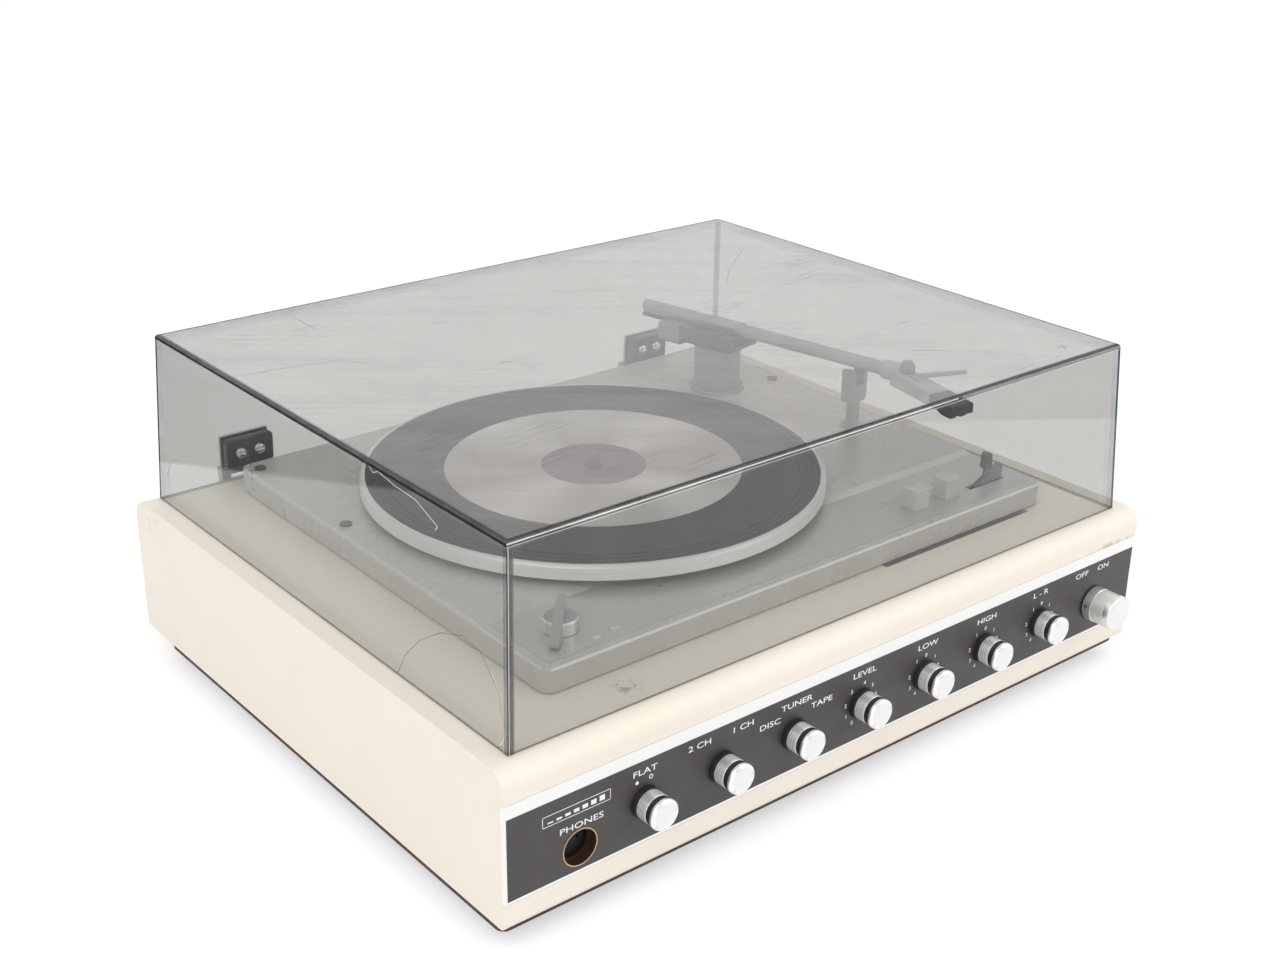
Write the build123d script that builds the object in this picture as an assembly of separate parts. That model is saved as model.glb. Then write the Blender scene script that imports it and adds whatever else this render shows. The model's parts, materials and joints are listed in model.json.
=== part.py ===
from build123d import *
from math import atan2, cos, degrees, hypot, pi, radians, sin
import os

os.makedirs("parts", exist_ok=True)

# A stereo record player and amplifier in one low case, under a smoked dust cover.
# Case frame: the origin is the middle of the top board's upper face.
# X runs right along the control panel, Y to the back, Z up.

# Case
case_width = 462.0
case_depth = 380.0
case_height = 85.0
board_thickness = 16.0
front_top_round = 10.0
front_bottom_round = 4.5
rear_top_round = 12.0
rail_height = 16.5
lower_rail_height = 14.7
base_thickness = 4.0
base_front_inset = 5.0
base_side_inset = 1.2
base_rear_inset = 28.0
foot_radius = 8.0
foot_height = 9.0
foot_inset_x = 17.0
foot_inset_y = 62.0
foot_screw_radius = 1.6
panel_gap = 0.2
rear_panel_thickness = 3.0
rear_panel_inset = 3.0
vent_width = 4.0
vent_height = 22.0
vent_count = 12
vent_pitch = 9.0
vent_start_x = 60.0

# Top board opening for the deck
opening_margin = 17.0
notch_left_x = 55.0
notch_right_x = 177.0
notch_reach = 3.0

# Control panel
trim_thickness = 2.0
face_thickness = 0.8
face_recess = 0.7
face_side_margin = 1.6
face_top_margin = 7.5
face_bottom_margin = 1.8
chassis_thickness = 1.2
chassis_gap = 2.6
chassis_flange = 14.0
control_z = -47.0
knob_names = ["filter", "mode", "source", "level", "low", "high", "balance"]
first_knob_margin = 82.0
last_knob_margin = 86.0
power_margin = 36.4
power_z = -50.0

# Knobs
knob_skirt_radius = 8.3
knob_skirt_length = 3.0
knob_sleeve_radius = 8.0
knob_ring_radius = 7.6
knob_cap_radius = 8.4
knob_length = 15.1
knob_cap_length = 3.4
knob_ring_length = 2.4
knob_cap_round = 1.2
knob_lift = 0.4
power_radius = 10.5
power_reach = 20.0
power_base_length = 6.0
power_cap_length = 5.0
power_cap_round = 1.5
shaft_radius = 3.0
shaft_fit = 0.05
bush_radius = 3.5
bush_length = 5.4
panel_hole_clearance = 0.4
pot_radius = 8.5
pot_length = 10.0

# Headphone socket
phones_margin = 43.0
phones_z = -56.0
phones_hole_radius = 10.25
phones_shell_wall = 0.6
phones_recess = 8.0
phones_insert_length = 6.0
pin_hole_radius = 0.9
pin_circle_radius = 4.2

# Deck
deck_left = -176.0
deck_right = 192.0
deck_front = -148.0
deck_back = 162.0
deck_height = 14.0
deck_step_height = 1.5
deck_gap = 1.0
deck_wall = 2.0
deck_corner = 7.0
deck_edge_round = 1.5
step_front_y = -92.0
step_width = 5.0
inlay_margin = 6.0
inlay_thickness = 1.0
mount_radius = 5.0
deck_screw_radius = 3.4
deck_screw_head = 1.2
deck_screw_end = -10.0
deck_screw_left_inset = 8.0
deck_screw_right_inset = 9.0
deck_screw_rear_inset = 12.0
deck_screw_left_y = 50.0
deck_screw_right_y = 78.0
mount_rear_inset = 22.0

# Platter
platter_x = -23.0
platter_y = 12.5
platter_bottom = 19.0
platter_top = 27.5
platter_radius = 136.0
platter_wall = 4.6
platter_chamfer = 2.0
platter_web = 2.0
belt_ring_radius = 78.0
belt_ring_wall = 3.0
belt_ring_height = 5.5
hub_radius = 15.0
mat_radius = 132.5
mat_thickness = 2.4
mat_fit = 0.3
mat_rib_height = 0.4
mat_rib_width = 2.0
mat_rib_pitch = 4.0
mat_rib_count = 3
inset_outer_radius = 87.2
inset_inner_radius = 30.8
inset_depth = 0.7
inset_thickness = 0.8
spindle_radius = 5.0
spindle_length = 52.0
spindle_flange = 2.0
centre_pin_radius = 3.6
centre_pin_height = 9.0
bearing_outer_radius = 8.5
bearing_flange_radius = 16.0
bearing_flange_thickness = 1.6
bearing_floor = 3.0
bearing_fit = 0.05

# Drive
pulley_angle = 128.0
pulley_distance = 104.0
pulley_radius = 6.5
pulley_flange = 1.2
motor_radius = 25.0
motor_height = 34.0
motor_shaft_radius = 1.5
belt_height = 3.8
belt_thickness = 0.7
belt_gap = 0.3

# Deck controls
speed_x = -145.0
speed_y = -118.0
speed_radius = 9.3
speed_height = 7.0
speed_nose_reach = 24.0
speed_tail_reach = 8.5
speed_tail_height = 15.5
speed_pointer_angle = 225.0
speed_pointer_width = 5.0
button_x = [104.0, 130.2]
button_y = -125.6
button_width = 11.6
button_depth = 11.0
button_height = 12.6
button_travel = 3.0
button_gap = 0.3
button_skirt = 5.5
button_stem = 12.0
button_stem_radius = 2.5
cue_x = 164.0
cue_y = -127.0
cue_axis_z = 2.0
cue_plate_thickness = 3.2
cue_plate_left = 10.8
cue_plate_right = 12.5
cue_plate_top = 22.5
cue_tongue_left = 2.6
cue_tongue_right = 0.6
cue_tongue_thickness = 1.8
cue_tongue_grip = 4.0
cue_axle_radius = 1.5
cue_axle_fit = 0.05
cue_ear_gap = 2.1
cue_ear_thickness = 1.6
cue_tip_width = 5.4
cue_tip_bottom = 24.0
cue_tip_top = 33.5
cue_slot_width = 4.6
cue_slot_left = 16.0
cue_slot_right = 14.0
cue_bracket_gap_left = 13.0
cue_bracket_gap_right = 10.0
cue_ear_half = 4.0
control_bracket_left = 9.0
control_bracket_right = 17.0
control_bracket_front = 7.5
control_bracket_rear = 13.0
control_bracket_sheet = 1.5

# Tone arm
arm_x = 142.5
arm_y = 90.1
arm_angle = 10.4
arm_height = 60.0
arm_tube_radius = 4.3
arm_tube_bore = 3.5
arm_rear_reach = 64.0
arm_front_reach = 141.0
column_radius = 15.5
column_foot_radius = 18.5
column_foot_height = 2.5
column_top = 47.2
pillar_radius = 5.0
yoke_length = 43.0
yoke_width = 32.0
yoke_wall = 4.5
yoke_floor = 2.4
yoke_gap = 0.4
yoke_height = 10.5
pitch_axis_drop = 6.0
pivot_radius = 1.5
pivot_fit = 0.05
saddle_length = 28.0
saddle_bottom_gap = 2.0
saddle_side_gap = 0.4
weight_front = -24.0
weight_rear = -42.0
weight_width = 24.0
weight_height = 12.8
weight_tube_gap = 0.4
rod_radius = 1.5
rod_drop = 6.6
collar_radius = 6.2
collar_length = 14.0
head_angle = 18.0
head_length = 61.0
head_rear_width = 12.0
head_front_width = 17.0
head_rear_height = 10.0
head_front_height = 6.0
head_wall = 1.6
head_rear_drop = 2.0
head_slope = 3.0
cartridge_width = 11.6
cartridge_length = 19.0
cartridge_depth = 10.6
stylus_depth = 1.5
lock_radius = 4.6
lock_height = 8.5
lock_distance = 8.5
lift_distance = 17.0
lift_reach = 31.0
lift_width = 3.4
lift_thickness = 2.0
lift_angle = 61.0
rest_distance = 109.6
rest_post_radius = 4.2
rest_foot_radius = 7.0
rest_width = 17.0
rest_length = 8.0
rest_head_height = 22.0
rest_notch_clearance = 0.5
rest_notch_depth = 11.2
rest_top_gap = 0.4

# Dust cover
lid_margin = 11.0
lid_height = 103.0
lid_wall = 3.0
lid_draft = 5.3
lid_top_round = 2.2
lid_seat_gap = 0.2
hinge_left_margin = 67.5
hinge_right_margin = 81.5
bracket_width = 31.0
bracket_height = 18.5
bracket_bottom = 10.5
bracket_thickness = 5.0
bracket_screw_spacing = 12.5
lid_screw_radius = 1.9
lid_screw_head_radius = 3.6
lid_screw_head_height = 1.8
leaf_width = 16.0
leaf_thickness = 2.2
hinge_axis_back = 5.6
hinge_axis_height = 4.6
knuckle_radius = 3.4
hinge_pin_radius = 1.4
hinge_pin_fit = 0.05
hinge_side_gap = 0.4
hinge_ear_width = 6.0
hinge_sole_bottom = -5.0
hinge_sole_top = -2.0

# Inside the case
pcb_thickness = 1.6
pcb_width = 250.0
pcb_depth = 90.0
pcb_x = -10.0
pcb_y = -98.0
standoff_height = 8.0
standoff_radius = 3.0
transformer_margin = 81.0
transformer_y = 118.0
core_width = 66.0
core_depth = 30.0
core_height = 54.0
coil_width = 40.0
coil_depth = 46.0
coil_height = 34.0
transformer_foot = 2.0
inlet_margin = 41.0
inlet_z = -58.0
inlet_width = 22.0
inlet_height = 14.0
inlet_depth = 14.0
inlet_wall = 2.0
inlet_flange = 4.0
inlet_flange_thickness = 1.5
inlet_pin_radius = 1.2
socket_count = 4
socket_margin = 111.0
socket_pitch = 30.0
socket_z = -58.0
socket_radius = 8.2
socket_flange = 4.0
socket_depth = 10.0
socket_flange_thickness = 1.5

# Levels and places that follow from the sizes above
half_width = case_width / 2
half_depth = case_depth / 2
first_knob_x = -half_width + first_knob_margin
knob_pitch = (case_width - first_knob_margin - last_knob_margin) / (len(knob_names) - 1)
power_x = half_width - power_margin
phones_x = -half_width + phones_margin
inlet_x = -half_width + inlet_margin
socket_xs = [-half_width + socket_margin + socket_pitch * i for i in range(socket_count)]
transformer_x = -half_width + transformer_margin
lid_width = case_width - 2 * lid_margin
lid_depth = case_depth - 2 * lid_margin
hinge_x = [-half_width + hinge_left_margin, half_width - hinge_right_margin]
case_bottom = -case_height
base_bottom = case_bottom - base_thickness
floor_z = base_bottom - foot_height
power_length = power_reach - knob_lift
part_origin = Pos(0, power_reach / 2, -floor_z)
front_y = -half_depth
rear_y = half_depth
rail_back_y = front_y + board_thickness
rear_rail_front_y = rear_y - board_thickness
rail_bottom = -rail_height
panel_bottom = case_bottom + lower_rail_height
panel_back_y = front_y + trim_thickness
chassis_front_y = panel_back_y + chassis_gap
chassis_back_y = chassis_front_y + chassis_thickness
knob_xs = [first_knob_x + knob_pitch * i for i in range(len(knob_names))]
rear_deck_z = deck_height + deck_step_height
deck_under = deck_height - deck_wall
button_bottom = deck_height - button_skirt
rear_deck_under = rear_deck_z - deck_wall
inlay_left = deck_left + inlay_margin
inlay_right = deck_right - inlay_margin
inlay_front = deck_front + inlay_margin
inlay_back = step_front_y - 0.5
web_top = platter_top - (mat_thickness - mat_rib_height)
web_bottom = web_top - platter_web
mat_top = web_top + mat_thickness - mat_rib_height
belt_ring_bottom = web_bottom - belt_ring_height
pulley_x = platter_x + pulley_distance * cos(radians(pulley_angle))
pulley_y = platter_y + pulley_distance * sin(radians(pulley_angle))
arm_frame = Location((arm_x, arm_y, arm_height), (0, 0, arm_angle - 90))
pitch_z = -pitch_axis_drop
yoke_bottom = column_top + yoke_gap - arm_height
yoke_floor_top = yoke_bottom + yoke_floor
yoke_top = yoke_bottom + yoke_height
saddle_bottom = yoke_floor_top + saddle_bottom_gap
saddle_width = yoke_width - 2 * (yoke_wall + saddle_side_gap)
weight_top = -arm_tube_radius - weight_tube_gap
hinge_y = lid_depth / 2 + hinge_axis_back
draft_angle = degrees(atan2(lid_draft, lid_height))
lid_lean = radians(draft_angle)


def block(x0, x1, y0, y1, z0, z1):
    """A box from its lowest to its highest corner."""
    centre = Pos((x0 + x1) / 2, (y0 + y1) / 2, (z0 + z1) / 2)
    return centre * Box(x1 - x0, y1 - y0, z1 - z0)


def post(x, y, z0, z1, radius):
    """A round bar that stands along Z."""
    return Pos(x, y, (z0 + z1) / 2) * Cylinder(radius, z1 - z0)


def bar_y(x, z, y0, y1, radius):
    """A round bar that lies along Y."""
    return Pos(x, (y0 + y1) / 2, z) * Rot(90, 0, 0) * Cylinder(radius, y1 - y0)


def bar_x(y, z, x0, x1, radius):
    """A round bar that lies along X."""
    return Pos((x0 + x1) / 2, y, z) * Rot(0, 90, 0) * Cylinder(radius, x1 - x0)


def side_profile(points, x0, x1):
    """An outline in the Y-Z plane, drawn out along X."""
    outline = make_face(Polyline(*points, close=True))
    turned = Plane.YZ.offset(x0) * outline
    return extrude(turned, x1 - x0)


def turned(points):
    """A profile of radius and height, turned about Z."""
    outline = make_face(Polyline(*points, close=True))
    return revolve(Plane.XZ * outline, Axis.Z)


def save(node, *solids):
    """Writes one node, with its solids set down in the part frame."""
    pieces = []
    for solid in solids:
        pieces.extend(solid.solids())
    placed = [part_origin * piece for piece in pieces]
    shape = placed[0] if len(placed) == 1 else Compound(placed)
    export_step(shape, f"parts/{node}.step")


def knob_fit_radius():
    """The bore in a bush for a control shaft."""
    return shaft_radius + shaft_fit


# Case boards
def side_board(x0, x1):
    """A side of the case, cut back at the front for the trim plate and the lower rail."""
    notch_y = front_y + trim_thickness
    points = [
        (rail_back_y, case_bottom),
        (rail_back_y, panel_bottom),
        (notch_y, panel_bottom),
        (notch_y, rail_bottom),
        (rear_y, rail_bottom),
        (rear_y, case_bottom),
    ]
    return side_profile(points, x0, x1)


def front_rail():
    """The full-width rail under the control panel."""
    rail = block(-half_width, half_width, front_y, rail_back_y, case_bottom, panel_bottom)
    low_front = rail.edges().filter_by(Axis.X).group_by(Axis.Z)[0].sort_by(Axis.Y)[0]
    return fillet(low_front, front_bottom_round)


def top_board():
    """The full-width top, rounded front and back, with the opening for the deck."""
    board = block(-half_width, half_width, front_y, rear_y, rail_bottom, 0)
    upper_edges = board.edges().filter_by(Axis.X).group_by(Axis.Z)[-1].sort_by(Axis.Y)
    board = fillet(upper_edges[0], front_top_round)
    upper_edges = board.edges().filter_by(Axis.X).group_by(Axis.Z)[-1].sort_by(Axis.Y)
    board = fillet(upper_edges[-1], rear_top_round)
    board -= block(
        deck_left + opening_margin,
        deck_right - opening_margin,
        deck_front + opening_margin,
        deck_back - opening_margin,
        rail_bottom - 1,
        1,
    )
    board -= block(
        notch_left_x,
        notch_right_x,
        deck_front - notch_reach,
        deck_front + opening_margin + 1,
        rail_bottom / 2,
        1,
    )
    for x in hinge_x:
        board -= hinge_pocket(x)
    for x, y in deck_screw_places():
        board -= post(x, y, deck_screw_end - 1, 1, deck_screw_radius - 1.4)
    return board


def base_plate():
    plate = block(
        -half_width + base_side_inset,
        half_width - base_side_inset,
        front_y + base_front_inset,
        rear_y - base_rear_inset,
        base_bottom,
        case_bottom,
    )
    plate = fillet(plate.edges().filter_by(Axis.Z), 5.0)
    for x in foot_xs():
        for y in foot_ys():
            plate -= post(x, y, base_bottom - 1, case_bottom + 1, foot_screw_radius)
    for x, y in standoff_places():
        plate += post(x, y, case_bottom - 1, case_bottom + standoff_height, standoff_radius)
    return plate


def foot_xs():
    return [-half_width + foot_inset_x, half_width - foot_inset_x]


def foot_ys():
    return [front_y + foot_inset_y, rear_y - base_rear_inset - foot_inset_y / 2]


def foot(x, y):
    tall = turned([
        (foot_screw_radius + 0.1, base_bottom),
        (foot_radius, base_bottom),
        (foot_radius, floor_z + 1.5),
        (foot_radius - 1.5, floor_z),
        (foot_screw_radius + 2.2, floor_z),
        (foot_screw_radius + 2.2, floor_z + 4),
        (foot_screw_radius + 0.1, floor_z + 4),
    ])
    return Pos(x, y, 0) * tall


def foot_screw(x, y):
    head_z = floor_z + 4 - 2.0
    head = post(x, y, head_z, head_z + 2.0, foot_screw_radius + 1.8)
    shank = post(x, y, head_z + 2.0, case_bottom - 0.5, foot_screw_radius - 0.1)
    return head + shank


def rear_panel():
    y0 = rear_y - rear_panel_inset - rear_panel_thickness
    y1 = rear_y - rear_panel_inset
    inner = half_width - board_thickness - panel_gap
    panel = block(-inner, inner, y0, y1, case_bottom, rail_bottom - panel_gap)
    for x in socket_xs:
        panel -= bar_y(x, socket_z, y0 - 1, y1 + 1, socket_radius + 0.2)
    panel -= block(
        inlet_x - inlet_width / 2 - 0.2,
        inlet_x + inlet_width / 2 + 0.2,
        y0 - 1,
        y1 + 1,
        inlet_z - inlet_height / 2 - 0.2,
        inlet_z + inlet_height / 2 + 0.2,
    )
    for i in range(vent_count):
        x = vent_start_x + vent_pitch * i
        panel -= block(
            x,
            x + vent_width,
            y0 - 1,
            y1 + 1,
            socket_z - vent_height / 2,
            socket_z + vent_height / 2,
        )
    return panel


# Control panel
def control_holes(y0, y1, radius):
    holes = [bar_y(x, control_z, y0, y1, radius) for x in knob_xs]
    holes.append(bar_y(power_x, power_z, y0, y1, radius))
    return holes


def trim_plate():
    plate = block(
        -half_width,
        half_width,
        front_y,
        panel_back_y,
        panel_bottom + panel_gap,
        rail_bottom - panel_gap,
    )
    plate -= block(
        -half_width + face_side_margin,
        half_width - face_side_margin,
        front_y - 1,
        front_y + face_recess,
        panel_bottom + face_bottom_margin,
        rail_bottom - face_top_margin,
    )
    for hole in control_holes(front_y - 1, panel_back_y + 1, bush_radius + panel_hole_clearance):
        plate -= hole
    plate -= bar_y(phones_x, phones_z, front_y - 1, panel_back_y + 1, phones_hole_radius)
    return plate


def dark_face():
    face = block(
        -half_width + face_side_margin,
        half_width - face_side_margin,
        front_y + face_recess - face_thickness,
        front_y + face_recess,
        panel_bottom + face_bottom_margin,
        rail_bottom - face_top_margin,
    )
    for hole in control_holes(front_y - 1, panel_back_y + 1, bush_radius + panel_hole_clearance):
        face -= hole
    face -= bar_y(phones_x, phones_z, front_y - 1, panel_back_y + 1, phones_hole_radius)
    return face


def control_chassis():
    inner = half_width - board_thickness - panel_gap
    x0 = -inner
    x1 = inner
    z0 = panel_bottom + panel_gap
    z1 = rail_bottom - panel_gap
    plate = block(x0, x1, chassis_front_y, chassis_back_y, z0, z1)
    flange = block(x0, x1, chassis_front_y, chassis_front_y + chassis_flange, z1 - chassis_thickness, z1)
    foot_flange = block(
        x0,
        x1,
        chassis_front_y,
        chassis_front_y + chassis_flange,
        z0,
        z0 + chassis_thickness,
    )
    frame = plate + flange + foot_flange
    for hole in control_holes(chassis_front_y - 1, chassis_back_y + 1, bush_radius + 0.1):
        frame -= hole
    frame -= bar_y(phones_x, phones_z, chassis_front_y - 1, chassis_back_y + 1, phones_hole_radius + 0.4)
    return frame


def control_pot(x, z):
    """A rotary control: a round can behind the chassis, with a bush through it."""
    can_front = chassis_back_y
    can = bar_y(x, z, can_front, can_front + pot_length, pot_radius)
    bush = bar_y(x, z, can_front - bush_length, can_front, bush_radius)
    tags = block(x - 6, x + 6, can_front + 3, can_front + 4, z - pot_radius - 5, z)
    body = can + bush + tags
    return body - bar_y(x, z, can_front - bush_length - 1, can_front + pot_length - 2, knob_fit_radius())


def knob_and_shaft(x, z, knob, length):
    """A knob set on its shaft, with the shaft's far end inside the control."""
    front = front_y - knob_lift - length
    shaft = bar_y(x, z, front + 4.3, chassis_back_y + pot_length - 2.5, shaft_radius)
    return Pos(x, front_y - knob_lift, z) * knob, shaft


def knob_profile(length, points):
    """A knob turned about its own axis, with its open end at Y = 0 and its cap towards -Y."""
    bore_depth = length - 4.0
    bore = shaft_radius + shaft_fit
    outline = [(bore, 0)] + points + [(0, length), (0, bore_depth), (bore, bore_depth)]
    return Rot(90, 0, 0) * turned(outline)


def panel_knob():
    ring_start = knob_length - knob_cap_length - knob_ring_length
    cap_start = knob_length - knob_cap_length
    points = [
        (knob_skirt_radius, 0),
        (knob_skirt_radius, knob_skirt_length),
        (knob_sleeve_radius, knob_skirt_length),
        (knob_sleeve_radius, ring_start),
        (knob_ring_radius, ring_start),
        (knob_ring_radius, cap_start),
        (knob_cap_radius, cap_start),
        (knob_cap_radius, knob_length - knob_cap_round),
        (knob_cap_radius - knob_cap_round / 3, knob_length - knob_cap_round / 3),
        (knob_cap_radius - knob_cap_round, knob_length),
    ]
    return knob_profile(knob_length, points)


def power_knob():
    groove = 0.6
    cap_start = power_length - power_cap_length
    points = [
        (power_radius - 0.3, 0),
        (power_radius, 0.5),
        (power_radius, power_base_length),
        (power_radius - groove, power_base_length),
        (power_radius - groove, power_base_length + groove),
        (power_radius - 0.2, power_base_length + groove),
        (power_radius - 0.2, cap_start - groove),
        (power_radius - groove, cap_start - groove),
        (power_radius - groove, cap_start),
        (power_radius, cap_start),
        (power_radius, power_length - power_cap_round),
        (power_radius - power_cap_round / 3, power_length - power_cap_round / 3),
        (power_radius - power_cap_round, power_length),
    ]
    knob = knob_profile(power_length, points)
    screw_hole = Rot(0, -60, 0) * bar_x(0, 0, -power_radius - 1, -shaft_radius, 1.1)
    screw_hole = Pos(0, -power_base_length / 2, 0) * screw_hole
    return knob - screw_hole


def phones_shell():
    outer = phones_hole_radius - 0.1
    inner = outer - phones_shell_wall
    back = front_y + phones_recess + phones_insert_length
    ring = bar_y(phones_x, phones_z, front_y - 0.3, back, outer)
    return ring - bar_y(phones_x, phones_z, front_y - 1, back + 1, inner)


def phones_insert():
    radius = phones_hole_radius - 0.1 - phones_shell_wall - 0.05
    y0 = front_y + phones_recess
    insert = bar_y(phones_x, phones_z, y0, y0 + phones_insert_length, radius)
    for i in range(5):
        angle = radians(-90 + 45 * i)
        x = phones_x + pin_circle_radius * sin(angle)
        z = phones_z + pin_circle_radius * cos(angle)
        insert -= bar_y(x, z, y0 - 1, y0 + 4, pin_hole_radius)
    return insert


# Amplifier and mains parts
def standoff_places():
    """Where the board's corners rest."""
    reach_x = pcb_width / 2 - 8
    reach_y = pcb_depth / 2 - 8
    return [(pcb_x + sx * reach_x, pcb_y + sy * reach_y) for sx in (-1, 1) for sy in (-1, 1)]


def amplifier_board():
    z0 = case_bottom + standoff_height
    return block(
        pcb_x - pcb_width / 2,
        pcb_x + pcb_width / 2,
        pcb_y - pcb_depth / 2,
        pcb_y + pcb_depth / 2,
        z0,
        z0 + pcb_thickness,
    )


def transformer():
    z0 = case_bottom
    x = transformer_x
    y = transformer_y
    foot_plate = block(
        x - core_width / 2 - 9,
        x + core_width / 2 + 9,
        y - core_depth / 2,
        y + core_depth / 2,
        z0,
        z0 + transformer_foot,
    )
    z1 = z0 + transformer_foot
    core = block(
        x - core_width / 2,
        x + core_width / 2,
        y - core_depth / 2,
        y + core_depth / 2,
        z1,
        z1 + core_height,
    )
    zc = z1 + core_height / 2
    window = block(
        x - coil_width / 2,
        x + coil_width / 2,
        y - core_depth,
        y + core_depth,
        zc - coil_height / 2,
        zc + coil_height / 2,
    )
    coil = block(
        x - coil_width / 2 + 0.2,
        x + coil_width / 2 - 0.2,
        y - coil_depth / 2,
        y + coil_depth / 2,
        zc - coil_height / 2,
        zc + coil_height / 2 - 0.2,
    )
    coil = fillet(coil.edges().filter_by(Axis.Z), 4.0)
    return core + foot_plate - window, coil


def mains_inlet():
    y1 = rear_y - rear_panel_inset
    x0 = inlet_x - inlet_width / 2
    x1 = inlet_x + inlet_width / 2
    z0 = inlet_z - inlet_height / 2
    z1 = inlet_z + inlet_height / 2
    shell = block(x0, x1, y1 - inlet_depth, y1, z0, z1)
    flange = block(
        x0 - inlet_flange,
        x1 + inlet_flange,
        y1,
        y1 + inlet_flange_thickness,
        z0 - inlet_flange,
        z1 + inlet_flange,
    )
    well = block(
        x0 + inlet_wall,
        x1 - inlet_wall,
        y1 - inlet_depth + inlet_wall,
        y1 + inlet_flange_thickness + 1,
        z0 + inlet_wall,
        z1 - inlet_wall,
    )
    body = shell + flange - well
    for side in (-1, 1):
        body += bar_y(inlet_x + side * 4.3, inlet_z, y1 - inlet_depth + 1, y1 - 2, inlet_pin_radius)
    return body


def rear_socket(x):
    y1 = rear_y - rear_panel_inset
    barrel = bar_y(x, socket_z, y1 - socket_depth, y1, socket_radius)
    flange = bar_y(x, socket_z, y1, y1 + socket_flange_thickness, socket_radius + socket_flange)
    body = barrel + flange
    for i in range(5):
        angle = radians(-90 + 45 * i)
        px = x + pin_circle_radius * sin(angle)
        pz = socket_z + pin_circle_radius * cos(angle)
        body -= bar_y(px, pz, y1 - 5, y1 + 3, pin_hole_radius)
    return body


# Deck
def deck_plate():
    """A pressed plate with a skirt, a low front zone and a small slope up to the rear zone."""
    profile = [
        (deck_front, deck_gap),
        (deck_front, deck_height),
        (step_front_y, deck_height),
        (step_front_y + step_width, rear_deck_z),
        (deck_back, rear_deck_z),
        (deck_back, deck_gap),
    ]
    outer = side_profile(profile, deck_left, deck_right)
    outer = fillet(outer.edges().filter_by(Axis.Z), deck_corner)
    rim = [e for e in outer.edges() if e.center().Z > deck_height - 0.01 and not is_step_line(e)]
    outer = fillet(rim, deck_edge_round)
    inner_profile = [
        (deck_front + deck_wall, deck_gap - 1),
        (deck_front + deck_wall, deck_under),
        (step_front_y + deck_wall, deck_under),
        (step_front_y + step_width + deck_wall, rear_deck_under),
        (deck_back - deck_wall, rear_deck_under),
        (deck_back - deck_wall, deck_gap - 1),
    ]
    inner = side_profile(inner_profile, deck_left + deck_wall, deck_right - deck_wall)
    inner = fillet(inner.edges().filter_by(Axis.Z), deck_corner - deck_wall)
    plate = outer - inner
    plate -= block(
        inlay_left,
        inlay_right,
        inlay_front,
        inlay_back,
        deck_height - inlay_thickness,
        deck_height + 1,
    )
    plate -= post(platter_x, platter_y, 0, rear_deck_z + 1, bearing_outer_radius + 0.2)
    plate -= post(pulley_x, pulley_y, 0, rear_deck_z + 1, pulley_radius + 2.5)
    for cut in control_cuts():
        plate -= cut
    for x, y in deck_screw_places():
        plate -= post(x, y, 0, rear_deck_z + 1, deck_screw_radius - 1.4)
    return plate


def is_step_line(edge):
    """True for the two long lines where the deck's slope begins and ends."""
    box = edge.bounding_box()
    return box.size.Y < 0.01 and step_front_y - 1 < box.min.Y < step_front_y + step_width + 1


def control_cuts():
    """Holes for the buttons, the speed shaft and the cue lever, right through the deck."""
    cuts = [post(speed_x, speed_y, 0, rear_deck_z, shaft_radius + 0.3)]
    for x in button_x:
        cuts.append(block(
            x - button_width / 2 - button_gap,
            x + button_width / 2 + button_gap,
            button_y - button_depth / 2 - button_gap,
            button_y + button_depth / 2 + button_gap,
            0,
            rear_deck_z,
        ))
    cuts.append(block(
        cue_x - cue_slot_left,
        cue_x + cue_slot_right,
        cue_y - cue_slot_width / 2,
        cue_y + cue_slot_width / 2,
        0,
        rear_deck_z,
    ))
    return cuts


def deck_inlay():
    plate = block(
        inlay_left + panel_gap,
        inlay_right - panel_gap,
        inlay_front + panel_gap,
        inlay_back - panel_gap,
        deck_height - inlay_thickness,
        deck_height + 0.1,
    )
    for cut in control_cuts():
        plate -= cut
    return plate


def deck_screw_places():
    return [
        (deck_left + deck_screw_left_inset, deck_screw_left_y),
        (deck_right - deck_screw_right_inset, deck_screw_right_y),
        (deck_left + deck_screw_left_inset, deck_back - deck_screw_rear_inset),
        (deck_right - deck_screw_right_inset, deck_back - deck_screw_rear_inset),
    ]


def deck_screw(x, y):
    head = post(x, y, rear_deck_z, rear_deck_z + deck_screw_head, deck_screw_radius)
    shank = post(x, y, deck_screw_end, rear_deck_z, deck_screw_radius - 1.6)
    slot = block(
        x - deck_screw_radius,
        x + deck_screw_radius,
        y - 0.4,
        y + 0.4,
        rear_deck_z + 0.6,
        rear_deck_z + 3,
    )
    return head + shank - slot


def suspension_mount(x, y, under):
    """A rubber mount between the top board and the underside of the deck."""
    return Pos(x, y, 0) * turned([
        (1.5, 0),
        (mount_radius, 0),
        (mount_radius, 3),
        (mount_radius - 1.5, 4.5),
        (mount_radius - 1.5, under - 4.5),
        (mount_radius, under - 3),
        (mount_radius, under),
        (1.5, under),
    ])


def suspension_mounts():
    x0 = deck_left + opening_margin / 2 + 0.5
    x1 = deck_right - opening_margin / 2 - 0.5
    y0 = deck_front + opening_margin / 2 + 0.5
    y1 = deck_back - opening_margin / 2 - 0.5
    return [
        suspension_mount(x0, y0, deck_under),
        suspension_mount(x1, y0, deck_under),
        suspension_mount(x0 + mount_rear_inset, y1, rear_deck_under),
        suspension_mount(x1 - mount_rear_inset, y1, rear_deck_under),
    ]


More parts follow.
